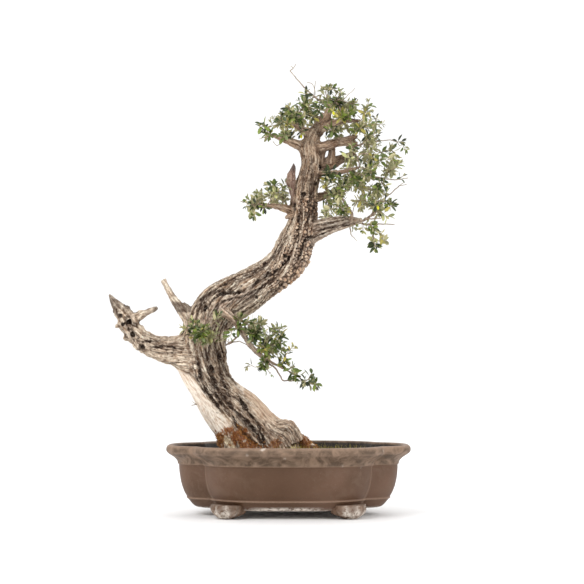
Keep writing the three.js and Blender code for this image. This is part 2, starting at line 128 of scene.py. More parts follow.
# Long cracks and hollows seen on the front of the wood, laid in X and Z; each is
# dropped on to the surface from the front. name: (line, width, depth)
CRACKS = {
    "strip_edge": ([(-182, 286), (-172, 256), (-156, 224), (-136, 195), (-122, 168)], 1.6, 0.9),
    "left_b": ([(-164, 330), (-152, 296), (-146, 262), (-134, 234), (-112, 205), (-92, 181), (-72, 158)], 1.6, 1.0),
    "left_c": ([(-148, 250), (-130, 216), (-108, 190), (-96, 168), (-84, 150)], 1.4, 1.0),
    "right_a": ([(-118, 300), (-112, 268), (-96, 240), (-80, 222)], 1.8, 1.0),
    "mid_a": ([(-176, 362), (-168, 384), (-156, 400), (-136, 416), (-112, 424)], 1.6, 1.0),
    "mid_b": ([(-140, 372), (-128, 394), (-108, 404), (-84, 410), (-56, 424), (-30, 440)], 1.8, 1.0),
    "mid_c": ([(-110, 436), (-86, 446), (-60, 458), (-34, 478), (-18, 500)], 1.7, 1.0),
    "up_a": ([(18, 500), (18, 530), (20, 560), (24, 590), (26, 620)], 1.5, 1.0),
    "up_b": ([(36, 540), (38, 580), (42, 610), (46, 650)], 1.5, 0.9),
    "bough_r": ([(40, 520), (66, 528), (96, 540), (124, 548)], 1.5, 0.9),
    "bough_r3": ([(38, 500), (60, 512), (86, 524), (116, 538)], 2.6, 0.8),
    "bough_r4": ([(50, 533), (84, 540), (118, 551)], 1.8, 0.8),
    "bough_r2": ([(34, 540), (62, 544), (94, 552), (120, 556)], 1.3, 0.9),
    "left": ([(-171, 294), (-164, 256), (-152, 230), (-137, 211), (-124, 191)], 3.6, 1.0),
    "main": ([(-156, 305), (-143, 271), (-139, 243), (-124, 224), (-106, 200), (-79, 178), (-57, 148), (-42, 122)], 5.4, 1.1),
    "shade": ([(-132, 309), (-130, 280), (-124, 252), (-113, 230)], 7.0, 0.8),
    "burl_edge": ([(-94, 224), (-76, 193), (-57, 168), (-42, 131)], 5.6, 1.1),
    "moss_edge": ([(-100, 170), (-79, 148), (-49, 126)], 5.0, 1.0),
    "between": ([(-113, 211), (-91, 185), (-68, 159)], 3.6, 0.9),
    "mid_long": ([(-160, 368), (-155, 387), (-143, 402), (-128, 413), (-100, 415.5), (-78, 417)], 4.6, 1.1),
    "mid_left": ([(-181, 380), (-170, 397), (-155, 410), (-140, 421)], 3.4, 0.9),
    "mid_right": ([(-72, 425), (-50, 442), (-25, 455), (-5, 474), (8, 496)], 3.6, 0.9),
    "shoulder": ([(-31, 474), (-16, 496), (-5, 519)], 3.4, 0.9),
    "under_bough": ([(16, 474), (24, 496), (33, 517), (56, 523)], 4.4, 1.0),
    "arm_upper": ([(-279, 323), (-262, 325), (-244, 325.5)], 3.0, 1.1),
    "arm_lower": ([(-260, 314), (-231, 316), (-203, 310)], 2.6, 0.9),
    "spike_split": ([(-309, 362), (-297, 345), (-287, 336)], 2.6, 0.9),
    "upper_right_edge": ([(48, 640), (44, 615), (42, 585)], 4.0, 0.6),
}
HOLES = [(28.3, 601.4, 4.6), (60, 655, 4.0), (52, 622, 3.6), (-300, 362, 4.2), (-313, 357, 3.4), (-318, 374, 3.0), (10.4, 581.5, 4.4), (12, 574, 3.0), (-276, 314.5, 6.0), (-293.5, 339, 4.6), (48, 578, 3.2),
         (-36, 452, 3.4), (-7, 485, 3.0), (-118, 433, 2.8), (-60, 408, 3.4)]

# ------------------------------------------------------------- noise in numpy
_rng = np.random.default_rng(7)
PERM = np.concatenate([_rng.permutation(256)] * 2).astype(np.int32)
GRAD = _rng.normal(size=(256, 3)).astype(F)
GRAD /= np.linalg.norm(GRAD, axis=1)[:, None]


def perlin(p):
    """Gradient noise, about -0.7 to 0.7, for an (N, 3) array."""
    out = np.empty(len(p), F)
    for a in range(0, len(p), 400000):
        q = p[a:a + 400000].astype(F)
        i = np.floor(q).astype(np.int32)
        f = q - i
        w = f * f * f * (f * (f * 6 - 15) + 10)
        i &= 255
        total = np.zeros(len(q), F)
        for dx in (0, 1):
            wx = w[:, 0] if dx else 1 - w[:, 0]
            hx = PERM[(i[:, 0] + dx) & 255]
            for dy in (0, 1):
                wy = w[:, 1] if dy else 1 - w[:, 1]
                hy = PERM[hx + ((i[:, 1] + dy) & 255)]
                for dz in (0, 1):
                    wz = w[:, 2] if dz else 1 - w[:, 2]
                    g = GRAD[PERM[hy + ((i[:, 2] + dz) & 255)]]
                    dot = g[:, 0] * (f[:, 0] - dx) + g[:, 1] * (f[:, 1] - dy) + g[:, 2] * (f[:, 2] - dz)
                    total += wx * wy * wz * dot
        out[a:a + 400000] = total
    return out


def worley(p):
    """(distance to the nearest cell point, to the second nearest) for (N, 3)."""
    f1 = np.empty(len(p), F)
    f2 = np.empty(len(p), F)
    cell = np.empty(len(p), F)
    jitter = (GRAD * 0.45 + 0.5).astype(F)
    for a in range(0, len(p), 300000):
        q = p[a:a + 300000].astype(F)
        i = np.floor(q).astype(np.int32)
        b1 = np.full(len(q), 9, F)
        b2 = np.full(len(q), 9, F)
        who = np.zeros(len(q), np.int32)
        for dx in (-1, 0, 1):
            for dy in (-1, 0, 1):
                for dz in (-1, 0, 1):
                    c = i + np.array([dx, dy, dz], np.int32)
                    h = PERM[PERM[PERM[c[:, 0] & 255] + (c[:, 1] & 255)] + (c[:, 2] & 255)]
                    d = ((c + jitter[h] - q) ** 2).sum(1)
                    b2 = np.minimum(b2, np.maximum(b1, d))
                    who = np.where(d < b1, h, who)
                    b1 = np.minimum(b1, d)
        f1[a:a + 300000] = np.sqrt(b1)
        f2[a:a + 300000] = np.sqrt(b2)
        cell[a:a + 300000] = PERM[(who + 91) & 255] / 255.0
    return f1, f2, cell


def smooth(x, a, b):
    t = np.clip((x - a) / (b - a), 0, 1)
    return t * t * (3 - 2 * t)


def mix(a, b, t):
    return a * (1 - t) + b * t


# -------------------------------------------------------------------- the wood
def catmull(stations, step):
    """Evenly spaced samples of a smooth line through stations of any width."""
    s = np.array(stations, float)
    s = np.vstack([2 * s[0] - s[1], s, 2 * s[-1] - s[-2]])
    out = []
    for k in range(1, len(s) - 2):
        p0, p1, p2, p3 = s[k - 1:k + 3]
        n = 24
        t = np.linspace(0, 1, n, endpoint=False)[:, None]
        out.append(0.5 * (2 * p1 + (p2 - p0) * t + (2 * p0 - 5 * p1 + 4 * p2 - p3) * t ** 2 + (3 * p1 - p0 - 3 * p2 + p3) * t ** 3))
    out.append(s[-2][None])
    out = np.vstack(out)
    length = np.concatenate([[0], np.cumsum(np.linalg.norm(np.diff(out[:, :3], axis=0), axis=1))])
    count = max(3, int(round(length[-1] / step)) + 1)
    at = np.linspace(0, length[-1], count)
    return np.stack([np.interp(at, length, out[:, c]) for c in range(s.shape[1])], 1), at


class Limb:
    def __init__(self, name, stations, kind, blend, number):
        samples, self.S = catmull(stations, 2.5)
        self.name, self.kind, self.blend, self.number = name, kind, blend, number
        self.C = samples[:, :3].astype(F)
        self.R = np.maximum(samples[:, 3], 0.6).astype(F)
        T = np.gradient(samples[:, :3], axis=0)
        T /= np.linalg.norm(T, axis=1)[:, None]
        side = np.array([0.0, 1.0, 0.0])
        Ns = []
        for t in T:
            side = side - t * side.dot(t)
            side /= np.linalg.norm(side)
            Ns.append(side.copy())
        self.T = T.astype(F)
        self.N = np.array(Ns, F)
        self.B = np.cross(T, self.N).astype(F)
        self.low = (self.C - self.R[:, None]).min(0) - 22
        self.high = (self.C + self.R[:, None]).max(0) + 22
        self.rmean = float(np.mean(self.R))
        self.seed = 13.7 * number

    def local(self, P):
        """Along, round and out: (s, angle, distance from the axis, radius, overshoot)."""
        step = 4
        C4 = self.C[::step]
        out = [np.empty(len(P), F) for _ in range(5)]
        for a in range(0, len(P), 300000):
            p = P[a:a + 300000]
            d2 = (C4 ** 2).sum(1)[None] - 2 * p @ C4.T
            i0 = d2.argmin(1) * step
            best = np.full(len(p), 1e9, F)
            idx = i0.copy()
            for off in range(-step, step + 1):
                j = np.clip(i0 + off, 0, len(self.C) - 1)
                d = ((p - self.C[j]) ** 2).sum(1)
                better = d < best
                best = np.where(better, d, best)
                idx = np.where(better, j, idx)
            rel = p - self.C[idx]
            t = (rel * self.T[idx]).sum(1)
            half = 1.4
            over = np.where(idx == 0, np.maximum(-t, 0), 0) + np.where(idx == len(self.C) - 1, np.maximum(t, 0), 0)
            tc = np.clip(t, -half, half)
            tc = np.where((idx == 0) & (t < 0), 0, tc)
            tc = np.where((idx == len(self.C) - 1) & (t > 0), 0, tc)
            radial = rel - self.T[idx] * t[:, None]
            rho = np.sqrt((radial ** 2).sum(1))
            angle = np.arctan2((radial * self.B[idx]).sum(1), (radial * self.N[idx]).sum(1))
            s = self.S[idx] + tc
            R = np.interp(s, self.S, self.R)
            for o, v in zip(out, (s, angle, rho, R, over)):
                o[a:a + 300000] = v
        return out


LIMB = [Limb(n, st, k, b, i) for i, (n, (st, k, b)) in enumerate(LIMBS.items())]


def flow(limb, s, angle, reach, across, along, seed=0.0, twist=0.0):
    """Noise coordinates that run with the grain and close round the limb."""
    turned = angle + twist * s
    return np.stack([np.cos(turned) * reach / across + seed, np.sin(turned) * reach / across + limb.seed, s / along + seed * 0.37], 1).astype(F)


KIND = {
    # lobes, strand depth, fissure depth, fine depth, grain across, grain along
    "bark": dict(lobe=0.05, strand=4.6, fissure=2.6, fine=1.1, across=15, along=150, twist=0.0035),
    "root": dict(lobe=0.05, strand=2.6, fissure=1.6, fine=0.8, across=13, along=70, twist=0.003),
    "dead": dict(lobe=0.07, strand=2.6, fissure=1.6, fine=0.6, across=10, along=110, twist=0.006),
    "grey": dict(lobe=0.05, strand=2.4, fissure=1.3, fine=0.4, across=8, along=160, twist=0.002),
    "bough": dict(lobe=0.04, strand=1.3, fissure=1.0, fine=0.5, across=8, along=60, twist=0.004),
}


def valley(n, width):
    """1 in the bottom of a crack, 0 on the plates between."""
    return (1 - np.clip(np.abs(n) / width, 0, 1)) ** 1.6


def limb_field(limb, P, fine=False):
    s, angle, rho, R, over = limb.local(P)
    k = KIND[limb.kind]
    size = np.clip(R / 34, 0.16, 1.15) if limb.kind == "bark" else np.clip(R / 20, 0.15, 1.1)
    reach = np.clip(limb.rmean, 5, 36)
    lobes = k["lobe"] * (np.cos(3 * angle + s / 60 + limb.seed) + 0.7 * np.cos(5 * angle - s / 85 + 2 * limb.seed))
    wander = perlin(flow(limb, s, angle, reach, 40, 90, 5.0)) * 1.3
    n1 = perlin(flow(limb, s, angle + wander * 0.35, reach, k["across"], k["along"], 1.3, k["twist"]))
    n2 = perlin(flow(limb, s, angle + wander * 0.35, reach, k["across"] * 0.42, k["along"] * 0.42, 7.9, k["twist"]))
    smoothness = np.zeros(len(P), F)
    if limb.name == "burl":
        smoothness = 0.75 * smooth(P[:, 2], 160, 190)
    if limb.name == "pale_strip":
        smoothness = np.ones(len(P), F)
    if limb.name == "left_root" or limb.name == "trunk":
        # the pale bare strip down the left side of the lower trunk
        smoothness = smooth(-P[:, 0] - 0.86 * (P[:, 2] - 170) + 22 + 8 * wander - 125, 0, 10) * (1 - smooth(P[:, 2], 290, 312)) * smooth(P[:, 2], 140, 160) * (P[:, 1] < 24)
        smoothness = smoothness * 0.9
    rough = 1 - smoothness
    v1 = valley(n1, 0.16) * rough
    v2 = valley(n2, 0.17) * rough
    swell = n1 * 0.9 * rough
    disp = size * (k["strand"] * (v1 * 0.75 - swell) + k["fissure"] * v2)
    d = rho - R * (1 + lobes) + disp
    d = np.where(over > 0, np.sqrt(np.maximum(d, 0) ** 2 + over ** 2) + np.minimum(np.maximum(d, over), 0), d)
    if not fine:
        return d.astype(F), None
    return d.astype(F), dict(s=s, angle=angle, rho=rho, R=R, v1=v1, v2=v2, smooth=smoothness, reach=reach, wander=wander, swell=swell)


def raw_field(P):
    """Smooth union of every limb; also which limb is on top and how far the next is."""
    d = np.full(len(P), 60, F)
    near = np.full(len(P), 60, F)
    who = np.full(len(P), -1, np.int16)
    for limb in LIMB:
        m = np.all((P > limb.low) & (P < limb.high), axis=1)
        if not m.any():
            continue
        dl, _ = limb_field(limb, P[m])
        old = d[m]
        k = limb.blend
        h = np.clip(0.5 + 0.5 * (old - dl) / k, 0, 1)
        d[m] = mix(old, dl, h) - k * h * (1 - h)
        better = dl < near[m]
        sub = near[m]
        sub[better] = dl[better]
        near[m] = sub
        w = who[m]
        w[better] = limb.number
        who[m] = w
    return d, who


def front_of(x, z):
    """Y of the front of the wood at each (x, z), or nan where there is none."""
    ys = np.arange(-90, 70, 1.0)
    P = np.stack([np.repeat(x, len(ys)), np.tile(ys, len(x)), np.repeat(z, len(ys))], 1).astype(F)
    d = raw_field(P)[0].reshape(len(x), -1)
    inside = d < 0
    return np.where(inside.any(1), ys[inside.argmax(1)], np.nan)


CRACK_LINES = []
for _name, (_line, _w, _deep) in CRACKS.items():
    _pts, _ = catmull(_line, 2.0) if len(_line[0]) == 3 else catmull([(p[0], 0.0, p[1]) for p in _line], 2.0)
    _y = front_of(_pts[:, 0], _pts[:, 2])
    _ok = ~np.isnan(_y)
    _pts = _pts[_ok]
    _pts[:, 1] = np.convolve(np.pad(_y[_ok], 3, mode="edge"), np.ones(7) / 7, "valid")
    _t = np.linspace(0, 1, len(_pts))
    _r = (0.7 + 0.46 * _w) * np.clip(np.minimum(_t, 1 - _t) * 6, 0.1, 1) * np.clip(0.75 + 1.5 * perlin(_pts.astype(F) / 15 + 3), 0.12, 1.3)
    CRACK_LINES.append((_pts.astype(F), _r.astype(F), _deep, _w))
HOLE_POINTS = [(x, float(y), z, r) for (x, z, r), y in zip(HOLES, front_of(np.array([h[0] for h in HOLES], float), np.array([h[1] for h in HOLES], float))) if not np.isnan(y)]


def carve(P, d):
    """Takes the cracks and holes out of the wood. Returns (field, in a crack, near one)."""
    dark = np.zeros(len(P), F)
    shade = np.zeros(len(P), F)
    for line, r, deep, w in CRACK_LINES:
        lo = line.min(0) - w * 3 - 10
        hi = line.max(0) + w * 3 + 10
        m = np.where(np.all((P > lo) & (P < hi), axis=1))[0]
        if not len(m):
            continue
        p = P[m].copy()
        p += 3.0 * np.stack([perlin(p / 11 + 3), perlin(p / 11 + 9), perlin(p / 11 + 15)], 1) + 1.5 * np.stack([perlin(p / 4 + 3), perlin(p / 4 + 9), perlin(p / 4 + 15)], 1)
        squash = np.array([1.0, 0.42 / deep, 1.0], F)
        best = np.full(len(m), 1e9, F)
        for a in range(0, len(m), 200000):
            q = (p[a:a + 200000] * squash)
            L = line * squash
            dd = np.sqrt(np.maximum((q ** 2).sum(1)[:, None] - 2 * q @ L.T + (L ** 2).sum(1)[None], 0)) - r[None]
            best[a:a + 200000] = dd.min(1)
        k = 2.2
        dn = -best
        h = np.clip(0.5 + 0.5 * (dn - d[m]) / k, 0, 1)
        d[m] = mix(d[m], dn, h) + k * h * (1 - h)
        dark[m] = np.maximum(dark[m], 1 - smooth(best, -1.0, 1.5))
        shade[m] = np.maximum(shade[m], (1 - smooth(best, 0.5, 2.0 + 1.9 * w)) * min(1.0, 0.45 + w / 9))
    for x, y, z, r in HOLE_POINTS:
        g = np.sqrt((P[:, 0] - x) ** 2 + ((P[:, 1] - y) * 0.5) ** 2 + (P[:, 2] - z) ** 2) - r
        m = g < 8
        k = 1.6
        h = np.clip(0.5 + 0.5 * (-g[m] - d[m]) / k, 0, 1)
        d[m] = mix(d[m], -g[m], h) + k * h * (1 - h)
        dark[m] = np.maximum(dark[m], 1 - smooth(g[m], -1.2, 1.4))
    return d, dark, shade


def wood_field(P):
    d, who = raw_field(P)
    return carve(P, d)[0]


def surface_nets(field, origin, h):
    """Quads on the zero surface of a sampled field, one vertex in each cell it crosses."""
    inside = field < 0
    count = np.zeros(tuple(n - 1 for n in field.shape), np.int8)
    corner = [(i, j, k) for i in (0, 1) for j in (0, 1) for k in (0, 1)]

    def part(a, i, j, k):
        return a[i:a.shape[0] - 1 + i, j:a.shape[1] - 1 + j, k:a.shape[2] - 1 + k]

    for c in corner:
        count += part(inside, *c)
    cells = np.argwhere((count > 0) & (count < 8)).astype(np.int32)
    del count
    number = np.full(tuple(n - 1 for n in field.shape), -1, np.int32)
    number[cells[:, 0], cells[:, 1], cells[:, 2]] = np.arange(len(cells))
    values = {c: field[cells[:, 0] + c[0], cells[:, 1] + c[1], cells[:, 2] + c[2]] for c in corner}
    total = np.zeros((len(cells), 3), F)
    hits = np.zeros(len(cells), F)
    for a in corner:
        for axis in range(3):
            if a[axis]:
                continue
            b = tuple(v + (1 if n == axis else 0) for n, v in enumerate(a))
            fa, fb = values[a], values[b]
            cross = (fa < 0) != (fb < 0)
            t = np.where(cross, fa / np.where(cross, fa - fb, 1), 0)
            point = np.tile(np.array(a, F), (len(cells), 1))
            point[:, axis] += t
            total += point * cross[:, None]
            hits += cross
    verts = (cells + total / hits[:, None]) * h + origin
    quads = []
    for axis in range(3):
        u, v = (axis + 1) % 3, (axis + 2) % 3
        lo = [slice(1, -1)] * 3
        lo[axis] = slice(0, -1)
        hi = [slice(1, -1)] * 3
        hi[axis] = slice(1, None)
        a = inside[tuple(lo)]
        b = inside[tuple(hi)]
        edges = np.argwhere(a != b).astype(np.int32)
        start = np.array([1, 1, 1], np.int32)
        start[axis] = 0
        edges = edges + start
        up = inside[edges[:, 0], edges[:, 1], edges[:, 2]]
        ring = []
        for du, dv in ((-1, -1), (0, -1), (0, 0), (-1, 0)):
            e = edges.copy()
            e[:, u] += du
            e[:, v] += dv
            ring.append(number[e[:, 0], e[:, 1], e[:, 2]])
        q = np.stack(ring, 1)
        q[~up] = q[~up][:, ::-1]
        quads.append(q)
    quads = np.vstack(quads)
    quads = quads[(quads >= 0).all(1)]
    return verts.astype(F), quads


def main_part(verts, quads):
    """Only the largest connected part of a mesh."""
    label = np.arange(len(verts))
    edge = np.vstack([quads[:, [0, 1]], quads[:, [1, 2]], quads[:, [2, 3]], quads[:, [3, 0]]])
    while True:
        low = np.minimum(label[edge[:, 0]], label[edge[:, 1]])
        new = label.copy()
        np.minimum.at(new, edge[:, 0], low)
        np.minimum.at(new, edge[:, 1], low)
        new = new[new]
        new = new[new]
        if (new == label).all():
            break
        label = new
    names, counts = np.unique(label[quads[:, 0]], return_counts=True)
    keep = label == names[counts.argmax()]
    number = np.cumsum(keep) - 1
    q = quads[keep[quads[:, 0]]]
    return verts[keep], number[q]


def grown_wood(h):
    low = np.array([-352, -74, 100], F)
    high = np.array([148, 92, 800], F)
    shape = np.ceil((high - low) / h).astype(int)
    coarse = 6
    cs = -(-shape // coarse) + 1
    g = np.stack(np.meshgrid(*[np.arange(n) for n in cs], indexing="ij"), -1).reshape(-1, 3)
    centre = low + (g + 0.5).astype(F) * coarse * h
    d, _ = raw_field(centre)
    reach = coarse * h * 0.9 + 9
    blocks = g[np.abs(d) < reach]
    field = np.full(tuple(cs * coarse), 20, F)
    solid = g[(d <= -reach)]
    for b in solid:
        field[b[0] * coarse:(b[0] + 1) * coarse, b[1] * coarse:(b[1] + 1) * coarse, b[2] * coarse:(b[2] + 1) * coarse] = -20
    local = np.stack(np.meshgrid(*[np.arange(coarse)] * 3, indexing="ij"), -1).reshape(-1, 3)
    cells = (blocks[:, None] * coarse + local[None]).reshape(-1, 3)
    say("wood cells", len(cells))
    P = low + cells.astype(F) * h
    field[cells[:, 0], cells[:, 1], cells[:, 2]] = wood_field(P)
    verts, quads = surface_nets(field, low, h)
    return main_part(verts, quads)


def vertex_normals(verts, quads):
    a = verts[quads[:, 2]] - verts[quads[:, 0]]
    b = verts[quads[:, 3]] - verts[quads[:, 1]]
    n = np.cross(a, b)
    out = np.zeros_like(verts)
    for c in range(4):
        np.add.at(out, quads[:, c], n)
    out /= np.maximum(np.linalg.norm(out, axis=1), 1e-9)[:, None]
    return out


# ----------------------------------------------------------- meshes and shaders
def make_mesh(name, verts_mm, faces, material, normals=None, smooth_shade=True, colour=None, vectors=None, floats=None):
    """A piece from millimetres about the pot's centre."""
    mesh = bpy.data.meshes.new(name)
    v = (np.asarray(verts_mm, np.float64) * MM + SHIFT).astype(F)
    faces = np.asarray(faces, np.int32)
    mesh.vertices.add(len(v))
    mesh.vertices.foreach_set("co", v.ravel())
    n = faces.shape[1]
    mesh.loops.add(faces.size)
    mesh.loops.foreach_set("vertex_index", faces.ravel())
    mesh.polygons.add(len(faces))
    mesh.polygons.foreach_set("loop_start", np.arange(0, faces.size, n, dtype=np.int32))
    mesh.polygons.foreach_set("use_smooth", np.full(len(faces), smooth_shade))
    mesh.update(calc_edges=True)
    mesh.validate()
    for key, data in (colour or {}).items():
        a = mesh.attributes.new(key, "FLOAT_COLOR", "POINT")
        a.data.foreach_set("color", np.concatenate([data, np.ones((len(data), 1))], 1).astype(F).ravel())
    for key, data in (vectors or {}).items():
        a = mesh.attributes.new(key, "FLOAT_VECTOR", "POINT")
        a.data.foreach_set("vector", np.asarray(data, F).ravel())
    for key, data in (floats or {}).items():
        a = mesh.attributes.new(key, "FLOAT", "POINT")
        a.data.foreach_set("value", np.asarray(data, F).ravel())
    if normals is not None:
        mesh.normals_split_custom_set_from_vertices([tuple(n) for n in normals.tolist()])
    obj = bpy.data.objects.new(name, mesh)
    bpy.context.scene.collection.objects.link(obj)
    mats = material if isinstance(material, (list, tuple)) else [material]
    for m in mats:
        mesh.materials.append(m)
    return obj


class Shader:
    """A small helper for building a Principled material."""

    def __init__(self, name, roughness=0.7):
        self.mat = bpy.data.materials.new(name)
        self.mat.use_nodes = True
        self.t = self.mat.node_tree
        self.t.nodes.clear()
        self.out = self.t.nodes.new("ShaderNodeOutputMaterial")
        self.bsdf = self.t.nodes.new("ShaderNodeBsdfPrincipled")
        self.t.links.new(self.bsdf.outputs[0], self.out.inputs[0])
        self.bsdf.inputs["Roughness"].default_value = roughness

    def node(self, kind, inputs=None, **props):
        n = self.t.nodes.new(kind)
        for k, v in props.items():
            setattr(n, k, v)
        for k, v in (inputs or {}).items():
            self.put(v, n.inputs[k])
        return n

    def put(self, value, socket):
        if isinstance(value, bpy.types.NodeSocket):
            self.t.links.new(value, socket)
        elif isinstance(value, bpy.types.Node):
            self.t.links.new(value.outputs[0], socket)
        else:
            socket.default_value = value

    def coords(self, scale=1000.0):
        """Object coordinates in millimetres."""
        tc = self.node("ShaderNodeTexCoord")
        return self.node("ShaderNodeVectorMath", {0: tc.outputs["Object"], 1: (scale,) * 3}, operation="MULTIPLY").outputs[0]

    def attribute(self, name, output="Color"):
        return self.node("ShaderNodeAttribute", attribute_name=name).outputs[output]

    def noise(self, vector, scale, detail=4, rough=0.55, distortion=0.0):
        return self.node("ShaderNodeTexNoise", {"Vector": vector, "Scale": scale, "Detail": detail, "Roughness": rough, "Distortion": distortion}).outputs["Fac"]

    def cells(self, vector, scale, feature="F1", output="Distance", randomness=1.0):
        return self.node("ShaderNodeTexVoronoi", {"Vector": vector, "Scale": scale, "Randomness": randomness}, feature=feature).outputs[output]

    def ramp(self, fac, *stops, interpolation="LINEAR"):
        n = self.node("ShaderNodeValToRGB", {"Fac": fac})
        n.color_ramp.interpolation = interpolation
        e = n.color_ramp.elements
        while len(e) < len(stops):
            e.new(0.5)
        for el, (pos, c) in zip(e, stops):
            el.position = pos
            el.color = (c, c, c, 1) if isinstance(c, (int, float)) else (*c, 1)
        return n.outputs["Color"]

    def mix(self, fac, a, b, blend="MIX"):
        n = self.node("ShaderNodeMix", data_type="RGBA", blend_type=blend, clamp_factor=True)
        self.put(fac, n.inputs[0])
        for v, s in ((a, n.inputs[6]), (b, n.inputs[7])):
            self.put((*v, 1) if isinstance(v, tuple) and len(v) == 3 else v, s)
        return n.outputs[2]

    def math(self, op, a, b=None, c=None):
        n = self.node("ShaderNodeMath", operation=op)
        for v, s in zip((a, b, c), n.inputs):
            if v is not None:
                self.put(v, s)
        return n.outputs[0]

    def bump(self, height, strength, distance, normal=None):
        n = self.node("ShaderNodeBump", {"Height": height, "Strength": strength, "Distance": distance})
        if normal is not None:
            self.put(normal, n.inputs["Normal"])
        return n.outputs[0]

    def base(self, value):
        self.put(value, self.bsdf.inputs["Base Color"])

    def set(self, **values):
        for k, v in values.items():
            self.put(v, self.bsdf.inputs[k.replace("_", " ")])


def srgb(r, g, b):
    c = np.array([r, g, b], float) / 255
    return tuple(float(v) for v in np.where(c <= 0.04045, c / 12.92, ((c + 0.055) / 1.055) ** 2.4))


def wood_material():
    sh = Shader("weathered_olive_wood", 0.85)
    mm = sh.coords()
    grain = sh.attribute("grain", "Vector")
    tint = sh.attribute("tint")
    rough = sh.attribute("flaky", "Fac")
    fibre = sh.noise(grain, 0.9, 6, 0.62)
    fine = sh.noise(grain, 2.6, 3, 0.6)
    speck = sh.noise(mm, 0.42, 5, 0.68)
    blotch = sh.noise(mm, 0.06, 4, 0.55)
    scaled = sh.node("ShaderNodeVectorMath", {0: grain, 1: (0.80, 0.80, 0.62)}, operation="MULTIPLY").outputs[0]
    edge = sh.cells(scaled, 1.0, "DISTANCE_TO_EDGE")
    gap = sh.math("MULTIPLY", sh.ramp(edge, (0.02, 1.0), (0.14, 0.0)), rough)
    c = sh.mix(sh.ramp(fibre, (0.34, 0.0), (0.50, 1.0)), sh.mix(1.0, tint, srgb(186, 160, 138), "MULTIPLY"), tint)
    c = sh.mix(sh.ramp(fine, (0.56, 0.0), (0.72, 0.62)), c, srgb(240, 228, 212))
    c = sh.mix(sh.math("MULTIPLY", gap, 0.42), c, srgb(58, 42, 32))
    c = sh.mix(sh.math("MULTIPLY", sh.ramp(speck, (0.57, 0.0), (0.64, 0.85)), sh.math("ADD", sh.math("MULTIPLY", rough, 0.65), 0.12)), c, srgb(60, 44, 34))
    c = sh.mix(sh.ramp(blotch, (0.42, 0.0), (0.7, 0.35)), c, sh.mix(1.0, c, srgb(206, 176, 154), "MULTIPLY"))
    sh.base(c)
    h = sh.math("ADD", sh.math("MULTIPLY", fibre, 0.7), sh.math("MULTIPLY", speck, -0.35))
    h = sh.math("ADD", h, sh.math("MULTIPLY", gap, -0.7))
    sh.set(Normal=sh.bump(h, 0.65, 0.0013))
    sh.put(sh.ramp(fibre, (0.3, 0.95), (0.8, 0.72)), sh.bsdf.inputs["Roughness"])
    sh.bsdf.inputs["Specular IOR Level"].default_value = 0.25
    return sh.mat


C_CREVICE = np.array(srgb(50, 36, 28))
C_DEEP = np.array(srgb(82, 60, 44))
C_MID = np.array(srgb(176, 148, 122))
C_LIGHT = np.array(srgb(230, 208, 182))
C_CREAM = np.array(srgb(252, 240, 220))
C_GREY = np.array(srgb(168, 160, 152))
C_RED = np.array(srgb(132, 92, 72))
C_RUST = np.array(srgb(150, 86, 38))
C_MOSS = np.array(srgb(110, 104, 48))


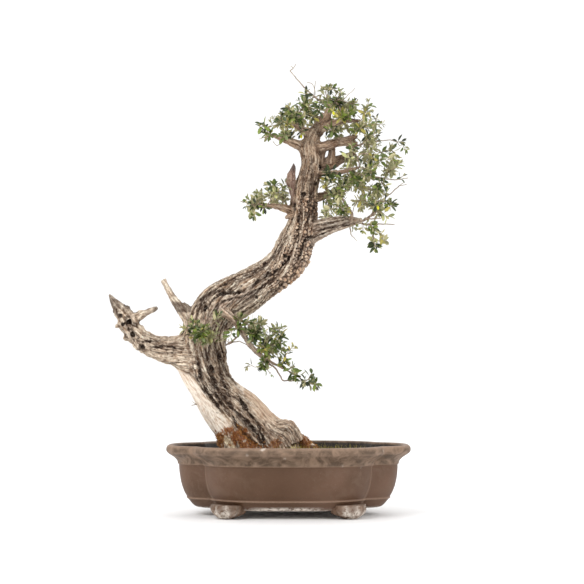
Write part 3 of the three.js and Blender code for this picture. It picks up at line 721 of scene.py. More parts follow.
def build_wood():
    h = 1.6
    verts, quads = grown_wood(h)
    say("wood mesh", len(verts), len(quads))
    n0 = vertex_normals(verts, quads)
    # grain, cracks and region of every vertex, blended where limbs meet
    total = np.zeros(len(verts), F)
    grain = np.zeros((len(verts), 3), F)
    acc = {k: np.zeros(len(verts), F) for k in ("v1", "v2", "smooth", "dead", "grey", "scaly", "fine", "bark", "swell")}
    best = np.full(len(verts), 1e9, F)
    best_r = np.full(len(verts), 10, F)
    for limb in LIMB:
        m = np.where(np.all((verts > limb.low) & (verts < limb.high), axis=1))[0]
        if not len(m):
            continue
        P = verts[m]
        d, info = limb_field(limb, P, fine=True)
        w = np.exp(-np.clip(d + 3, 0, 60) / 2.2).astype(F)
        k = KIND[limb.kind]
        s, angle, reach = info["s"], info["angle"] + info["wander"] * 0.25, info["reach"]
        n3 = perlin(flow(limb, s, angle, reach, 3.4, 17, 3.1, k["twist"]))
        n4 = perlin(flow(limb, s, angle, reach, 1.9, 7.5, 11.1, k["twist"]))
        fine = valley(n3, 0.22) + 0.5 * valley(n4, 0.25)
        scaly = np.zeros(len(m), F)
        if limb.name == "trunk":
            facing = n0[m] @ np.array([0.62, -0.30, -0.72], F)
            scaly = smooth(facing, 0.18, 0.55) * smooth(s, 420, 455) * (1 - smooth(s, 610, 640))
        acc["v1"][m] += w * info["v1"]
        acc["v2"][m] += w * info["v2"]
        acc["swell"][m] += w * info["swell"]
        acc["smooth"][m] += w * info["smooth"]
        acc["dead"][m] += w * (1.0 if limb.kind == "dead" else 0.0)
        acc["grey"][m] += w * (1.0 if limb.kind == "grey" else 0.0)
        acc["bark"][m] += w * (1.0 if limb.kind in ("bough",) else 0.0)
        acc["scaly"][m] += w * scaly
        acc["fine"][m] += w * fine * k["fine"]
        total[m] += w
        near = d < best[m]
        best[m[near]] = d[near]
        best_r[m[near]] = info["R"][near]
        twisted = angle + k["twist"] * s
        g = np.stack([np.cos(twisted) * reach / 2.1, np.sin(twisted) * reach / 2.1 + limb.seed, s / 15.0], 1)
        grain[m[near]] = g[near]
    for key in acc:
        acc[key] /= np.maximum(total, 1e-6)
    # scales: short curled plates across the underside of the middle length
    a = acc["scaly"]
    m = np.where(a > 0.02)[0]
    plate = np.zeros(len(verts), F)
    edge = np.zeros(len(verts), F)
    if len(m):
        g = grain[m].copy()
        q = np.stack([g[:, 0] * 2.1 / 9.5, g[:, 1] * 2.1 / 9.5, g[:, 2] * 15.0 / 6.0], 1)
        q += 0.35 * np.stack([perlin(verts[m] / 9), perlin(verts[m] / 9 + 7), perlin(verts[m] / 9 + 13)], 1)
        f1, f2, tone = worley(q)
        edge[m] = (1 - smooth(f2 - f1, 0.02, 0.30)) * a[m]
        plate[m] = (1 - f1) * a[m]
    # flakes: broken plates along the grain of all the barked wood
    flaky = np.clip(1 - acc["smooth"] * 1.3 - acc["grey"] * 0.55 - acc["dead"] * 0.35 - acc["scaly"], 0, 1)
    m = np.where(flaky > 0.02)[0]
    flake = np.zeros(len(verts), F)
    gap = np.zeros(len(verts), F)
    flake_tone = np.full(len(verts), 0.5, F)
    g = grain[m]
    q = np.stack([g[:, 0] * 2.1 / 5.2, g[:, 1] * 2.1 / 5.2, g[:, 2] * 15.0 / 30.0], 1)
    q += 0.45 * np.stack([perlin(verts[m] / 7 + 31), perlin(verts[m] / 7 + 37), perlin(verts[m] / 7 + 43)], 1)
    f1, f2, tone = worley(q)
    gap[m] = (1 - smooth(f2 - f1, 0.03, 0.26)) * flaky[m]
    flake[m] = (tone - 0.5) * flaky[m]
    flake_tone[m] = mix(0.5, tone, flaky[m])
    # small pits and lumps everywhere
    lump = perlin(verts / 8.5 + 3.3)
    grit = perlin(verts / 3.3 + 8.1)
    pit = smooth(perlin(verts / 5.0 + 21.0), 0.34, 0.5)
    rough = 1 - 0.85 * acc["smooth"]
    disp = -acc["fine"] * 1.15 * rough + lump * 1.5 * rough + grit * 0.7 * rough - pit * 1.3 * rough
    disp += plate * 2.2 - edge * 2.8
    broken = smooth(perlin(verts / 24 + 61), -0.25, 0.15)
    disp += (flake * 1.3 - gap * 1.1) * (0.25 + 0.75 * broken) * np.clip(best_r / 14, 0.25, 1)
    disp += acc["dead"] * (perlin(verts / 12 + 71) * 2.6 + perlin(verts / 5 + 75) * 1.3) * np.clip(best_r / 14, 0.2, 1)
    thin = smooth(np.interp(verts[:, 0], [-345, -240], [0, 1]), 0, 0.5)
    disp *= np.where(acc["dead"] > 0.5, 0.35 + 0.5 * thin + 0.9 * smooth(-verts[:, 0], 262, 285) * (verts[:, 2] < 396), 1.0)
    out = verts + n0 * disp[:, None]
    _, dark, shade = carve(verts.copy(), np.zeros(len(verts), F))
    normals = vertex_normals(out, quads)
    # open or closed: how far the surface lies below its smoothed neighbourhood, used below to paint shade into the
    # hollows and to lighten the ridges
    avg = verts_average(out, quads, 5)
    hollow = ((avg - out) * normals).sum(1)
    cav = smooth(hollow, -0.5, 1.5)
    ridge = smooth(-hollow, 0.05, 1.3)
    avg2 = verts_average(out, quads, 22)
    hollow2 = ((avg2 - out) * normals).sum(1)
    cav2 = smooth(hollow2, 0.2, 4.5)
    ridge2 = smooth(-hollow2, 0.0, 3.5)
    say("wood relief")
    z, x, y = out[:, 2], out[:, 0], out[:, 1]
    n_big = perlin(out / 45 + 2.0)
    n_mid = perlin(out / 16 + 5.0)
    n_small = perlin(out / 6 + 9.0)
    c = np.tile(C_MID, (len(out), 1))

    def lay(colour, t):
        nonlocal c
        t = np.clip(t, 0, 1)[:, None]
        c = c * (1 - t) + np.asarray(colour) * t

    stripe = perlin(np.stack([grain[:, 0] * 0.55, grain[:, 1] * 0.55, grain[:, 2] * 0.30], 1) + 5)
    # lighter on the ridges and rises, partly bleached wood and partly a painted highlight; less of it in the broad
    # hollows, a painted shade
    lay(C_LIGHT, 0.62 + 0.55 * ridge + 0.5 * ridge2 + 0.9 * n_big - 0.6 * cav2)
    lay(C_DEEP * 1.4, smooth(stripe + 0.3 * n_mid, 0.10, 0.42) * 0.72 * (1 - 0.75 * ridge))
    lay(C_CREAM, smooth(-stripe + 0.3 * n_small, 0.0, 0.34) * 0.75 * (1 - cav2))
    lay(C_DEEP * 1.25, smooth(n_mid, 0.16, 0.5) * 0.35)
    # cream on the ridges: partly bleached wood, partly a painted highlight
    lay(C_CREAM, ridge * (0.62 + 0.6 * smooth(n_mid, -0.1, 0.4)) * (1 - cav2))
    # plates of many tones, dark in the gaps between
    lay(C_CREAM, smooth(flake_tone, 0.60, 0.84) * 0.5)
    lay(C_DEEP * 1.3, smooth(-flake_tone, -0.26, -0.06) * 0.5)
    lay(C_RED, acc["scaly"] * (0.62 + 0.4 * n_small))
    lay(C_LIGHT * np.array([1.0, 0.93, 0.87]), acc["scaly"] * smooth(plate, 0.45, 0.75) * 0.8)
    # upper stem: warmer and browner bark
    upper = smooth(z, 520, 580) * (1 - acc["grey"]) * (1 - acc["dead"])
    lay(np.array(srgb(196, 156, 118)), upper * (0.42 - 0.30 * ridge))
    lay(C_DEEP * np.array([1.15, 0.95, 0.8]), upper * smooth(n_mid + 0.4 * n_small + 0.004 * (x - 40), 0.12, 0.36) * 0.7)
    lay(np.array(srgb(186, 158, 134)), acc["bark"] * 0.5)
    # the burl by the soil: smoother, pinkish tan
    burl = smooth(x + (z - 150) * 0.62, -48, -26) * (1 - smooth(z, 232, 246)) * smooth(z, 118, 136) * (x < 44)
    lay(np.array(srgb(208, 184, 162)), burl * (0.50 + 0.7 * n_small) * (1 - 0.6 * cav))
    # a bare pale strand over the shoulder of the middle trunk
    line = np.array([(-156, 358), (-147, 374), (-130, 390), (-104, 404), (-74, 414)], float)
    near = np.full(len(out), 99.0)
    for a, b in zip(line[:-1], line[1:]):
        t = np.clip(((x - a[0]) * (b[0] - a[0]) + (z - a[1]) * (b[1] - a[1])) / ((b - a) ** 2).sum(), 0, 1)
        near = np.minimum(near, np.hypot(x - a[0] - t * (b[0] - a[0]), z - a[1] - t * (b[1] - a[1])))
    lay(np.array(srgb(226, 206, 188)), (1 - smooth(near + 5 * n_small, 5.0, 9.0)) * (y < 0) * 0.9 * (1 - 0.5 * cav))
    # shaded hollows
    lay(C_DEEP, smooth(n_mid + 0.25 * normals[:, 0], 0.28, 0.6) * 0.55 * (1 - acc["dead"]))
    lay(C_GREY, acc["grey"] * 0.45)
    lay(C_DEEP, acc["grey"] * smooth(stripe, 0.05, 0.3) * 0.6 * (1 - ridge))
    lay(C_CREAM, acc["grey"] * ridge * 0.5)
    lay(np.array(srgb(214, 192, 168)), acc["dead"] * 0.55)
    lay(np.array(srgb(120, 100, 84)), acc["dead"] * smooth(n_mid + 0.5 * stripe, 0.08, 0.4) * 0.7)
    # cream on the ridges of the deadwood: partly bleached wood, partly a painted highlight
    lay(C_CREAM, acc["dead"] * (0.25 + 0.75 * ridge) * (1 - cav) * (1 - smooth(n_mid, 0.0, 0.4)))
    # cracks, darkest where they are deepest, with a mottled shade beside them; painted shade in the hollows, in the
    # bottoms of the fissures and inside the cracks and holes, and dark gaps between the plates and the scales
    lay(C_DEEP * 0.9, shade * (0.85 - 0.8 * ridge) * (0.8 + 0.8 * n_small))
    lay(C_DEEP, np.clip(0.85 * cav + 0.5 * cav2, 0, 1) * (1 - 0.5 * acc["smooth"]))
    lay(C_CREVICE * 1.4, np.clip(acc["v1"] * 0.85 + acc["v2"] * 0.45 - 0.28, 0, 1))
    lay(C_CREVICE, smooth(cav2 + 0.5 * cav, 0.6, 1.2))
    lay(C_CREVICE * 1.5, gap * 0.30 * (0.3 + 0.7 * broken))
    lay(C_CREVICE, edge * 0.9)
    lay(C_CREVICE * 0.9, dark * (0.82 + 0.4 * n_small))
    # the bare strip down the left of the lower trunk
    strip = smooth(acc["smooth"] + 0.45 * n_mid + 0.3 * n_small, 0.22, 0.72) * smooth(acc["smooth"], 0.02, 0.25) * (x < -84)
    lay(np.array(srgb(240, 230, 216)), strip * (0.92 - 0.5 * smooth(n_small, 0.1, 0.4)))
    lay(np.array(srgb(190, 168, 148)), strip * smooth(stripe + n_small * 0.5, 0.1, 0.4) * 0.5)
    # grey tips of the spike, the horn and the pointed stub
    lay(np.array(srgb(70, 55, 44)), smooth(-x, 262, 282) * smooth(n_mid + 0.6 * n_small, 0.04, 0.30) * 0.8 * (1 - 0.6 * ridge))
    lay(np.array(srgb(86, 74, 66)), smooth(z, 372, 398) * (x < -290) * 0.7 * (1 - 0.5 * ridge))
    lay(np.array(srgb(124, 94, 84)), (acc["dead"] > 0.5) * (z > 570) * 0.75)
    lay(np.array(srgb(62, 54, 56)), (acc["dead"] > 0.5) * smooth(z, 640, 650) * 0.7)
    lay(np.array(srgb(92, 80, 70)), (acc["dead"] > 0.5) * smooth(x, -262, -252) * (z > 380) * (z < 400) * 0.7)
    # rust-coloured moss at the foot, a pale root between
    moss = moss_mask(out)
    lay(C_CREAM * np.array([1, 0.93, 0.78]), (1 - smooth(np.hypot((x + 112 - (136 - z) * 0.9) / 9, (z - 138) / 17), 0.7, 1.1)) * (y < 0) * 0.9)
    lay(C_RUST, moss * 0.9)
    lay(C_RUST * 0.4, moss * smooth(n_small, 0.0, 0.35))
    lay(C_MOSS, (1 - smooth(z, 116, 126)) * smooth(n_mid, -0.1, 0.3) * 0.6)
    c = np.clip(c * (1 + 0.22 * n_small[:, None]), 0.004, 0.9)
    # pieces, cut where the CAD's nodes part
    say("wood colour")
    mat = wood_material()
    centre = out[quads].mean(1)
    dead = acc["dead"][quads].mean(1) > 0.5
    group = np.where(centre[:, 2] < 334, 0, np.where((centre - np.array([9, -14, 497])) @ np.array([0.36, -0.03, 0.93]) < 0, 1, 2))
    group = np.where(dead & (centre[:, 2] < 470), 3, group)
    plan = {
        0: ("bark_lower_trunk", ["trunk_lower"]),
        1: ("bark_middle_trunk", ["trunk_middle"]),
        2: ("bark_upper_trunk", ["trunk_upper", "pointed_stub"] + [n for n in LIMBS if n.startswith("bough_") and n in frame["nodes"]]),
        3: ("bleached_deadwood", ["deadwood_arm", "deadwood_spike", "deadwood_horn", "deadwood_stub"]),
    }
    for k, (name, nodes) in plan.items():
        q = quads[group == k]
        used, inv = np.unique(q, return_inverse=True)
        o = make_mesh(name, out[used], inv.reshape(-1, 4), mat, normals=normals[used], colour={"tint": c[used]},
                      vectors={"grain": grain[used]}, floats={"flaky": flaky[used]})
        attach(o, "root" if "root" in frame["bodies"] else list(frame["bodies"])[0])
        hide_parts(*nodes)
        say(name, len(q) * 2, "triangles")
    return out, normals, quads, c


def verts_average(verts, quads, rounds):
    """Neighbourhood means, by repeated averaging round the faces."""
    v = verts.copy()
    cnt = np.zeros(len(v), F)
    for c in range(4):
        np.add.at(cnt, quads[:, c], 1)
    idx = quads.ravel()
    for _ in range(rounds):
        m = v[quads].mean(1)
        rep = np.repeat(m, 4, axis=0)
        v = np.stack([np.bincount(idx, rep[:, c], len(v)) for c in range(3)], 1).astype(F) / cnt[:, None]
    return v


MOSS_PATCHES = [(-131, 138, 9, 18, 1.0), (-112, 158, 11, 9, 1.0), (-92, 146, 19, 17, 1.0), (-76, 130, 22, 16, 1.0), (-26, 130, 14, 12, 0.7), (34, 130, 13, 16, 0.95), (54, 124, 12, 10, 0.7), (-54, 120, 30, 7, 0.4)]


def moss_mask(P):
    """How mossy the wood is at each point: patches by the soil, front and back."""
    n = perlin(P / 9 + 4) * 0.9 + perlin(P / 3.6 + 12) * 0.5
    t = np.zeros(len(P), F)
    for cx, cz, rx, rz, strong in MOSS_PATCHES:
        d = np.hypot((P[:, 0] - cx) / rx, (P[:, 2] - cz) / rz)
        t = np.maximum(t, (1 - smooth(d + n * 1.3, 0.72, 1.0)) * strong * (P[:, 1] < 8))
    back = smooth(perlin(P / 28 + 77), 0.02, 0.2) * (1 - smooth(P[:, 2] + 16 * n, 132, 150)) * (P[:, 1] >= 8)
    return np.maximum(t, back)


WOOD = build_wood()


# ------------------------------------------------------------ twigs and leaves
# Pads of foliage: (front Y, back Y, how far shoots turn up, [(X, Z, half width, half height) of each clump]).
PADS = {
    "crown_top": (-58, 24, 0.6, [(68, 804, 11, 10), (94, 779, 15, 13), (39, 791, 11, 8), (28, 774, 11, 10), (121, 774, 11, 10), (148, 768, 8, 8), (102, 799, 6, 8), (87, 806, 8, 4)]),
    "crown_middle": (-90, 92, 0.45, [(45, 761, 23, 15), (68, 770, 15, 15), (92, 753, 17, 15), (20, 747, 15, 13), (45, 739, 17, 8), (110, 743, 19, 15), (89, 726, 19, 10)]),
    "crown_left": (-80, 40, 0.35, [(3, 758, 15, 10), (-26, 740, 11, 10), (-7, 736, 19, 13), (-45, 721, 11, 10), (-1, 717, 21, 10), (26, 725, 10, 8)]),
    "crown_right": (-72, 50, 0.35, [(140, 746, 13, 11), (169, 746, 15, 10), (155, 732, 19, 8), (129, 724, 15, 8), (174, 715, 13, 8), (148, 713, 10, 6), (163, 696, 11, 8)]),
    "outer_right": (-58, 34, 0.2, [(212, 697, 8, 6), (218, 676, 8, 10), (190, 682, 13, 10), (201, 661, 11, 13), (188, 650, 17, 8), (214, 634, 8, 4)]),
    "upper_right": (-92, 96, 0.3, [(119, 684, 17, 11), (121, 665, 17, 10), (159, 670, 19, 15), (151, 644, 19, 10), (121, 636, 13, 10)]),
    "inner_right": (-88, 86, 0.3, [(79, 639, 13, 9), (100, 623, 17, 15), (73, 618, 8, 9), (86, 597, 17, 11), (136, 618, 11, 9), (105, 572, 13, 9), (69, 564, 8, 6), (84, 578, 8, 6)]),
    "lower_right": (-70, 44, 0.2, [(170, 613, 17, 13), (138, 590, 15, 11), (164, 586, 17, 11), (189, 582, 8, 13), (168, 569, 13, 8), (191, 555, 6, 4)]),
    "low_tip_right": (-52, 0, -0.15, [(122, 547, 11, 8), (141, 535, 11, 9), (165, 537, 9, 9), (160, 518, 6, 8), (163, 503, 4, 6), (180, 515, 6, 2)]),
    "left_pad": (-68, 34, 0.35, [(-9, 616, 9, 9), (-31, 614, 13, 9), (-52, 601, 13, 11), (-20, 597, 17, 8)]),
    "left_tip": (-58, 10, 0.1, [(-73, 579, 11, 11), (-67, 562, 8, 6), (-46, 577, 8, 4), (-82, 590, 6, 2)]),
    "low_front": (-84, -42, 0.3, [(-194, 347, 7, 4), (-181, 358, 11, 9), (-168, 342, 17, 15), (-144, 349, 13, 9), (-133, 334, 13, 9), (-153, 325, 17, 6), (-131, 369, 7, 7)]),
    "low_bridge": (-82, -38, 0.35, [(-92, 373, 13, 9), (-85, 360, 13, 9), (-98, 347, 9, 6), (-111, 327, 7, 6)]),
    "low_right": (-88, -6, 0.25, [(-59, 359, 13, 9), (-64, 344, 13, 9), (-49, 335, 13, 9), (-20, 346, 11, 9), (-68, 321, 9, 7), (-38, 321, 15, 13), (-14, 321, 11, 15), (-31, 305, 15, 7), (-1, 305, 9, 6), (-49, 310, 9, 6), (10, 314, 6, 2)]),
    "low_tip": (-76, -20, -0.1, [(-74, 279, 11, 6), (-46, 279, 7, 6), (-33, 265, 4, 2), (-8, 288, 9, 9), (3, 275, 11, 7), (14, 260, 7, 6), (29, 252, 4, 6), (44, 264, 3, 5), (49, 245, 3, 5)]),
}
# Bare twigs that stand clear of the leaves: (Y, first radius, last radius, [(X, Z), ...]).
TWIGS = {
    "leader": (-20, 1.9, 0.7, [(62, 781), (45, 794), (28, 811), (16, 825), (3, 840)]),
    "leader_tip": (-22, 0.8, 0.4, [(3, 840), (10, 846), (14, 853)]),
    "leader_fork": (-22, 0.6, 0.3, [(9, 845), (4, 850)]),
    "wisp_a": (-18, 0.9, 0.4, [(49, 791), (50, 806), (45, 817), (36, 819)]),
    "wisp_b": (-16, 0.6, 0.3, [(50, 806), (51, 822)]),
    "wisp_c": (-24, 0.9, 0.4, [(94, 776), (109, 789), (121, 801), (126, 806)]),
    "wisp_d": (-12, 0.9, 0.4, [(79, 778), (91, 797), (98, 811)]),
    "wisp_e": (-10, 0.9, 0.4, [(68, 779), (77, 804), (87, 809), (95, 809)]),
    "right_arc": (-20, 1.2, 0.5, [(147, 706), (170, 706), (193, 708), (206, 704), (212, 696), (220, 702)]),
    "right_mid": (-30, 2.0, 0.6, [(120, 645), (147, 638), (173, 634), (200, 630), (217, 632), (226, 634)]),
    "right_up": (-16, 1.3, 0.5, [(178, 594), (193, 605), (208, 618), (220, 628)]),
    "right_up_fork": (-16, 0.8, 0.4, [(210, 620), (225, 624)]),
    "thick_right": (-34, 3.6, 1.6, [(118, 550), (120, 565), (109, 582), (99, 599), (97, 614)]),
    "low_right_a": (-26, 2.4, 0.9, [(109, 547), (131, 551), (150, 556), (175, 558)]),
    "low_right_b": (-26, 2.0, 0.7, [(131, 551), (147, 545), (165, 547), (200, 546)]),
    "hang_a": (-28, 1.3, 0.5, [(116, 543), (118, 526), (129, 515)]),
    "hang_b": (-26, 1.4, 0.5, [(156, 549), (158, 532), (162, 515), (163, 497)]),
    "hang_c": (-26, 0.8, 0.4, [(161, 516), (173, 515), (186, 515)]),
    "low_main": (-47, 2.4, 0.7, [(-85, 338), (-76, 318), (-61, 303), (-44, 288), (-25, 275), (-10, 251), (22, 251), (48, 254)]),
    "low_fork": (-46, 0.8, 0.4, [(18, 260), (27, 251)]),
    "low_spur": (-40, 1.5, 0.7, [(-117, 318), (-104, 323), (-91, 325), (-78, 318)]),
    "low_spur_b": (-42, 0.8, 0.4, [(-111, 321), (-113, 329)]),
    "left_hook": (-22, 0.9, 0.5, [(-10, 707), (-16, 699), (-22, 696), (-30, 705)]),
    "left_low": (-28, 1.6, 0.5, [(-31, 714), (-50, 711), (-55, 708)]),
    "dark_snag": (-30, 2.4, 1.1, [(126, 638), (118, 653), (109, 652), (96, 642)]),
    "dark_snag_b": (-28, 3.0, 1.2, [(116, 649), (132, 642), (137, 649)]),
    "trunk_twig": (-6, 1.2, 0.7, [(-156, 207), (-171, 207), (-183, 204)]),
    "trunk_twig_b": (-6, 0.8, 0.5, [(-175, 207), (-182, 211)]),
    "left_pad_limb": (-26, 2.2, 0.7, [(-46, 577), (-61, 581), (-77, 587), (-90, 590)]),
}
BODY = "root" if "root" in frame["bodies"] else list(frame["bodies"])[0]


def unit(v):
    v = np.asarray(v, float)
    return v / max(np.linalg.norm(v), 1e-9)


class Growth:
    """A branching skeleton: nodes with a parent, grown out to reach each shoot's tip."""

    def __init__(self, seed):
        self.rng = np.random.default_rng(seed)
        self.P, self.D, self.up, self.far, self.floor, self.cap, self.wood = [], [], [], [], [], [], []
        self.tips = []

    def add(self, p, d, parent, far, floor=0.0, cap=99.0, wood=False):
        self.P.append(np.asarray(p, float))
        self.D.append(unit(d))
        self.up.append(parent)
        self.far.append(far)
        self.floor.append(floor)
        self.cap.append(cap)
        self.wood.append(wood)
        return len(self.P) - 1

    def seed_limb(self, limb, start):
        last = -1
        n = len(limb.C)
        for i in range(int(n * start), n, 2):
            last = self.add(limb.C[i], limb.T[i], last, 18.0 * (1 - (i / n)), cap=float(limb.R[i]) * 0.8, wood=True)

    def nearest(self, a, reach_cost=0.22, wood_only=False):
        P = np.array(self.P)
        D = np.array(self.D)
        v = a - P
        d = np.linalg.norm(v, axis=1) + 1e-6
        cos = (v * D).sum(1) / d
        cost = d * (1 + 0.42 * (1 - cos)) + reach_cost * np.array(self.far)
        if wood_only:
            cost = np.where(np.array(self.wood), cost, 1e9)
        return int(cost.argmin())

    def grow_to(self, a, end_dir, step=3.6, wiggle=0.05):
        k = self.nearest(a)
        p = self.P[k]
        gap = a - p
        d = np.linalg.norm(gap)
        if d < 2:
            return k
        lead = unit(self.D[k] * 0.6 + gap / d)
        c1 = p + lead * d * 0.36
        c2 = a - unit(end_dir) * d * 0.34
        n = max(2, int(round(d / step)))
        side = unit(np.cross(gap, self.rng.normal(size=3)))
        side2 = unit(np.cross(gap, side))
        ph = self.rng.uniform(0, 6.28, 2)
        last, parent = p, k
        for i in range(1, n + 1):
            t = i / n
            q = (1 - t) ** 3 * p + 3 * (1 - t) ** 2 * t * c1 + 3 * (1 - t) * t * t * c2 + t ** 3 * a
            env = math.sin(math.pi * t)
            q = q + env * wiggle * min(d, 60) * (side * math.sin(7 * t + ph[0]) + side2 * math.sin(5 * t + ph[1]))
            q = q + (self.rng.normal(size=3) * 0.35 if i < n else 0)
            parent = self.add(q, q - last, parent, self.far[parent] + np.linalg.norm(q - last))
            last = q
        self.tips.append(parent)
        return parent

    def lay_line(self, points, r0, r1, join=True):
        """A bare twig through given points, joined back to the nearest limb."""
        pts = np.array(points, float)
        at = np.concatenate([[0], np.cumsum(np.linalg.norm(np.diff(pts, axis=0), axis=1))])
        n = max(3, int(at[-1] / 3.4))
        pts = np.stack([np.interp(np.linspace(0, at[-1], n), at, pts[:, c]) for c in range(3)], 1)
        k = self.nearest(pts[0], wood_only=False)
        parent = k
        if join and np.linalg.norm(self.P[k] - pts[0]) > 3:
            d = np.linalg.norm(self.P[k] - pts[0])
            n = max(2, int(d / 4))
            a, b = self.P[k], pts[0]
            c = a + self.D[k] * d * 0.35
            for i in range(1, n):
                t = i / n
                q = (1 - t) ** 2 * a + 2 * (1 - t) * t * c + t * t * b
                parent = self.add(q, q - self.P[parent], parent, self.far[parent] + 4, floor=r0)
        for i, q in enumerate(pts):
            t = i / max(1, len(pts) - 1)
            q = q + self.rng.normal(size=3) * 0.3
            ahead = pts[min(i + 1, len(pts) - 1)] - pts[max(i - 1, 0)]
            parent = self.add(q, ahead, parent, self.far[parent] + 3.0, floor=r0 + (r1 - r0) * t)
        return parent

    def radii(self, tip=0.55, power=2.35):
        n = len(self.P)
        load = np.zeros(n)
        kids = np.zeros(n, int)
        for i in range(n):
            if self.up[i] >= 0:
                kids[self.up[i]] += 1
        for i in range(n - 1, -1, -1):
            if kids[i] == 0:
                load[i] = max(load[i], tip ** power)
            r = max(load[i] ** (1 / power), self.floor[i])
            load[i] = r ** power + 0.004
            if self.up[i] >= 0 and not self.wood[i]:
                load[self.up[i]] += load[i]
        R = load ** (1 / power)
        for i in range(n):
            k = self.up[i]
            if k >= 0:
                R[i] = min(R[i], (self.cap[k] if self.wood[k] else R[k]) * 1.0)
        return R


def tube(path, radii, sides, phase=0.0):
    """A closed tapered tube: (vertices, triangles)."""
    path = np.asarray(path, float)
    n = len(path)
    T = np.gradient(path, axis=0)
    T /= np.maximum(np.linalg.norm(T, axis=1), 1e-9)[:, None]
    side = unit(np.cross(T[0], [0.31, 0.87, 0.22]))
    ring = []
    ang = np.arange(sides) / sides * 2 * math.pi + phase
    for i in range(n):
        side = unit(side - T[i] * side.dot(T[i]))
        other = np.cross(T[i], side)
        ring.append(path[i] + radii[i] * (np.cos(ang)[:, None] * side + np.sin(ang)[:, None] * other))
    v = np.vstack(ring + [path[0][None] - T[0] * radii[0] * 0.3, path[-1][None] + T[-1] * radii[-1] * 0.8])
    a = np.arange(sides)
    b = (a + 1) % sides
    base = (np.arange(n - 1) * sides)[:, None]
    t1 = np.stack([base + a, base + b, base + sides + b], -1).reshape(-1, 3)
    t2 = np.stack([base + a, base + sides + b, base + sides + a], -1).reshape(-1, 3)
    low = np.stack([np.full(sides, n * sides), b, a], -1)
    top = np.stack([np.full(sides, n * sides + 1), (n - 1) * sides + a, (n - 1) * sides + b], -1)
    return v, np.vstack([t1, t2, low, top])


def tubes_of(g, R):
    """Every chain of the skeleton as one tube, thickest child first."""
    n = len(g.P)
    kids = [[] for _ in range(n)]
    for i in range(n):
        if g.up[i] >= 0:
            kids[g.up[i]].append(i)
    verts, faces, rad, count = [], [], [], 0
    starts = []
    for i in range(n):
        if g.wood[i]:
            starts += [(i, k) for k in kids[i] if not g.wood[k]]
    while starts:
        base, first = starts.pop()
        chain, i = [first], first
        while kids[i]:
            order = sorted(kids[i], key=lambda k: -R[k])
            starts += [(i, k) for k in order[1:]]
            i = order[0]
            chain.append(i)
        path = [g.P[base]] + [g.P[k] for k in chain]
        radii = [min(R[first] * 1.25, g.cap[base] if g.wood[base] else R[base])] + [R[k] for k in chain]
        if len(path) < 2:
            continue
        sides = 7 if radii[0] > 2.4 else 6 if radii[0] > 1.3 else 5
        v, f = tube(path, radii, sides, base * 0.7)
        verts.append(v)
        faces.append(f + count)
        rad.append(np.concatenate([np.repeat(radii, sides), [radii[0], radii[-1]]]))
        count += len(v)
    return np.vstack(verts), np.vstack(faces), np.concatenate(rad)


# outline of one leaf: (along, half width); the stalk is the first pair
LEAF_ROWS = [(0.0, 0.05), (0.14, 0.16), (0.32, 0.74), (0.55, 1.0), (0.78, 0.80), (0.93, 0.36)]


def leaf_shape():
    """One leaf of unit length and unit half width: both faces, with a folded rib."""
    rows = len(LEAF_ROWS)
    v, f, under = [], [], []
    for face in (0, 1):
        base = len(v)
        for t, w in LEAF_ROWS:
            for s in (-1, 0, 1):
                v.append((t, s * w, (0.0 if s else -1.0), face))
        v.append((1.0, 0.0, 0.0, face))
        for r in range(rows - 1):
            for s in (0, 1):
                a, b, c, d = base + 3 * r + s, base + 3 * r + s + 1, base + 3 * r + s + 4, base + 3 * r + s + 3
                quad = [(a, d, c), (a, c, b)] if face == 0 else [(a, c, d), (a, b, c)]
                f += quad
                under += [face] * 2
        e = base + 3 * (rows - 1)
        tip = base + 3 * rows
        quad = [(e, tip, e + 1), (e + 1, tip, e + 2)] if face == 0 else [(e, e + 1, tip), (e + 1, e + 2, tip)]
        f += quad
        under += [face] * 2
    return np.array(v, float), np.array(f), np.array(under)


def make_leaves(sets):
    """sets: dict of arrays at, axis, face, length, width, curl, fold, top, under."""
    shape, tris, under = leaf_shape()
    n = len(sets["at"])
    at, ax, nr = sets["at"], sets["axis"], sets["face"]
    ax = ax / np.linalg.norm(ax, axis=1)[:, None]
    nr = nr - ax * (nr * ax).sum(1)[:, None]
    nr /= np.maximum(np.linalg.norm(nr, axis=1), 1e-6)[:, None]
    sd = np.cross(nr, ax)
    t, s, rib, face = shape.T
    L, W = sets["length"][:, None], sets["width"][:, None]
    x = L * t[None]
    y = W * s[None]
    z = -sets["curl"][:, None] * L * (t ** 2)[None] + sets["fold"][:, None] * W * (np.abs(s)[None] - 0.25) + np.where(face[None] > 0, -0.16, 0.0) * np.where(np.abs(s) > 0, 0.25, 1.0)[None]
    v = at[:, None] + x[..., None] * ax[:, None] + y[..., None] * sd[:, None] + z[..., None] * nr[:, None]
    k = len(shape)
    faces = (tris[None] + (np.arange(n) * k)[:, None, None]).reshape(-1, 3)
    slots = np.where(under[None] > 0, sets["under"][:, None], sets["top"][:, None]).reshape(-1)
    return v.reshape(-1, 3), faces, slots


# leaf_sunlit is a painted highlight and leaf_dark painted shade: lit and shaded copies of the leaf green, dealt out by
# spray with the rest
LEAF_LOOKS = [
    ("leaf_deep_green", srgb(62, 76, 34), 0.42), ("leaf_green", srgb(92, 106, 46), 0.45), ("leaf_fresh_green", srgb(122, 138, 60), 0.48),
    ("leaf_grey_green", srgb(128, 138, 92), 0.55), ("leaf_yellow_green", srgb(172, 162, 84), 0.5), ("leaf_yellow", srgb(196, 192, 36), 0.5),
    ("leaf_under_silver", srgb(160, 158, 118), 0.7), ("leaf_under_pale", srgb(192, 184, 142), 0.7), ("leaf_sunlit", srgb(184, 184, 126), 0.5),
    ("leaf_dark", srgb(42, 50, 26), 0.42),
]
SPRAY_MIX = np.array([0.26, 0.26, 0.12, 0.07, 0.10, 0.0, 0.0, 0.0, 0.06, 0.13])


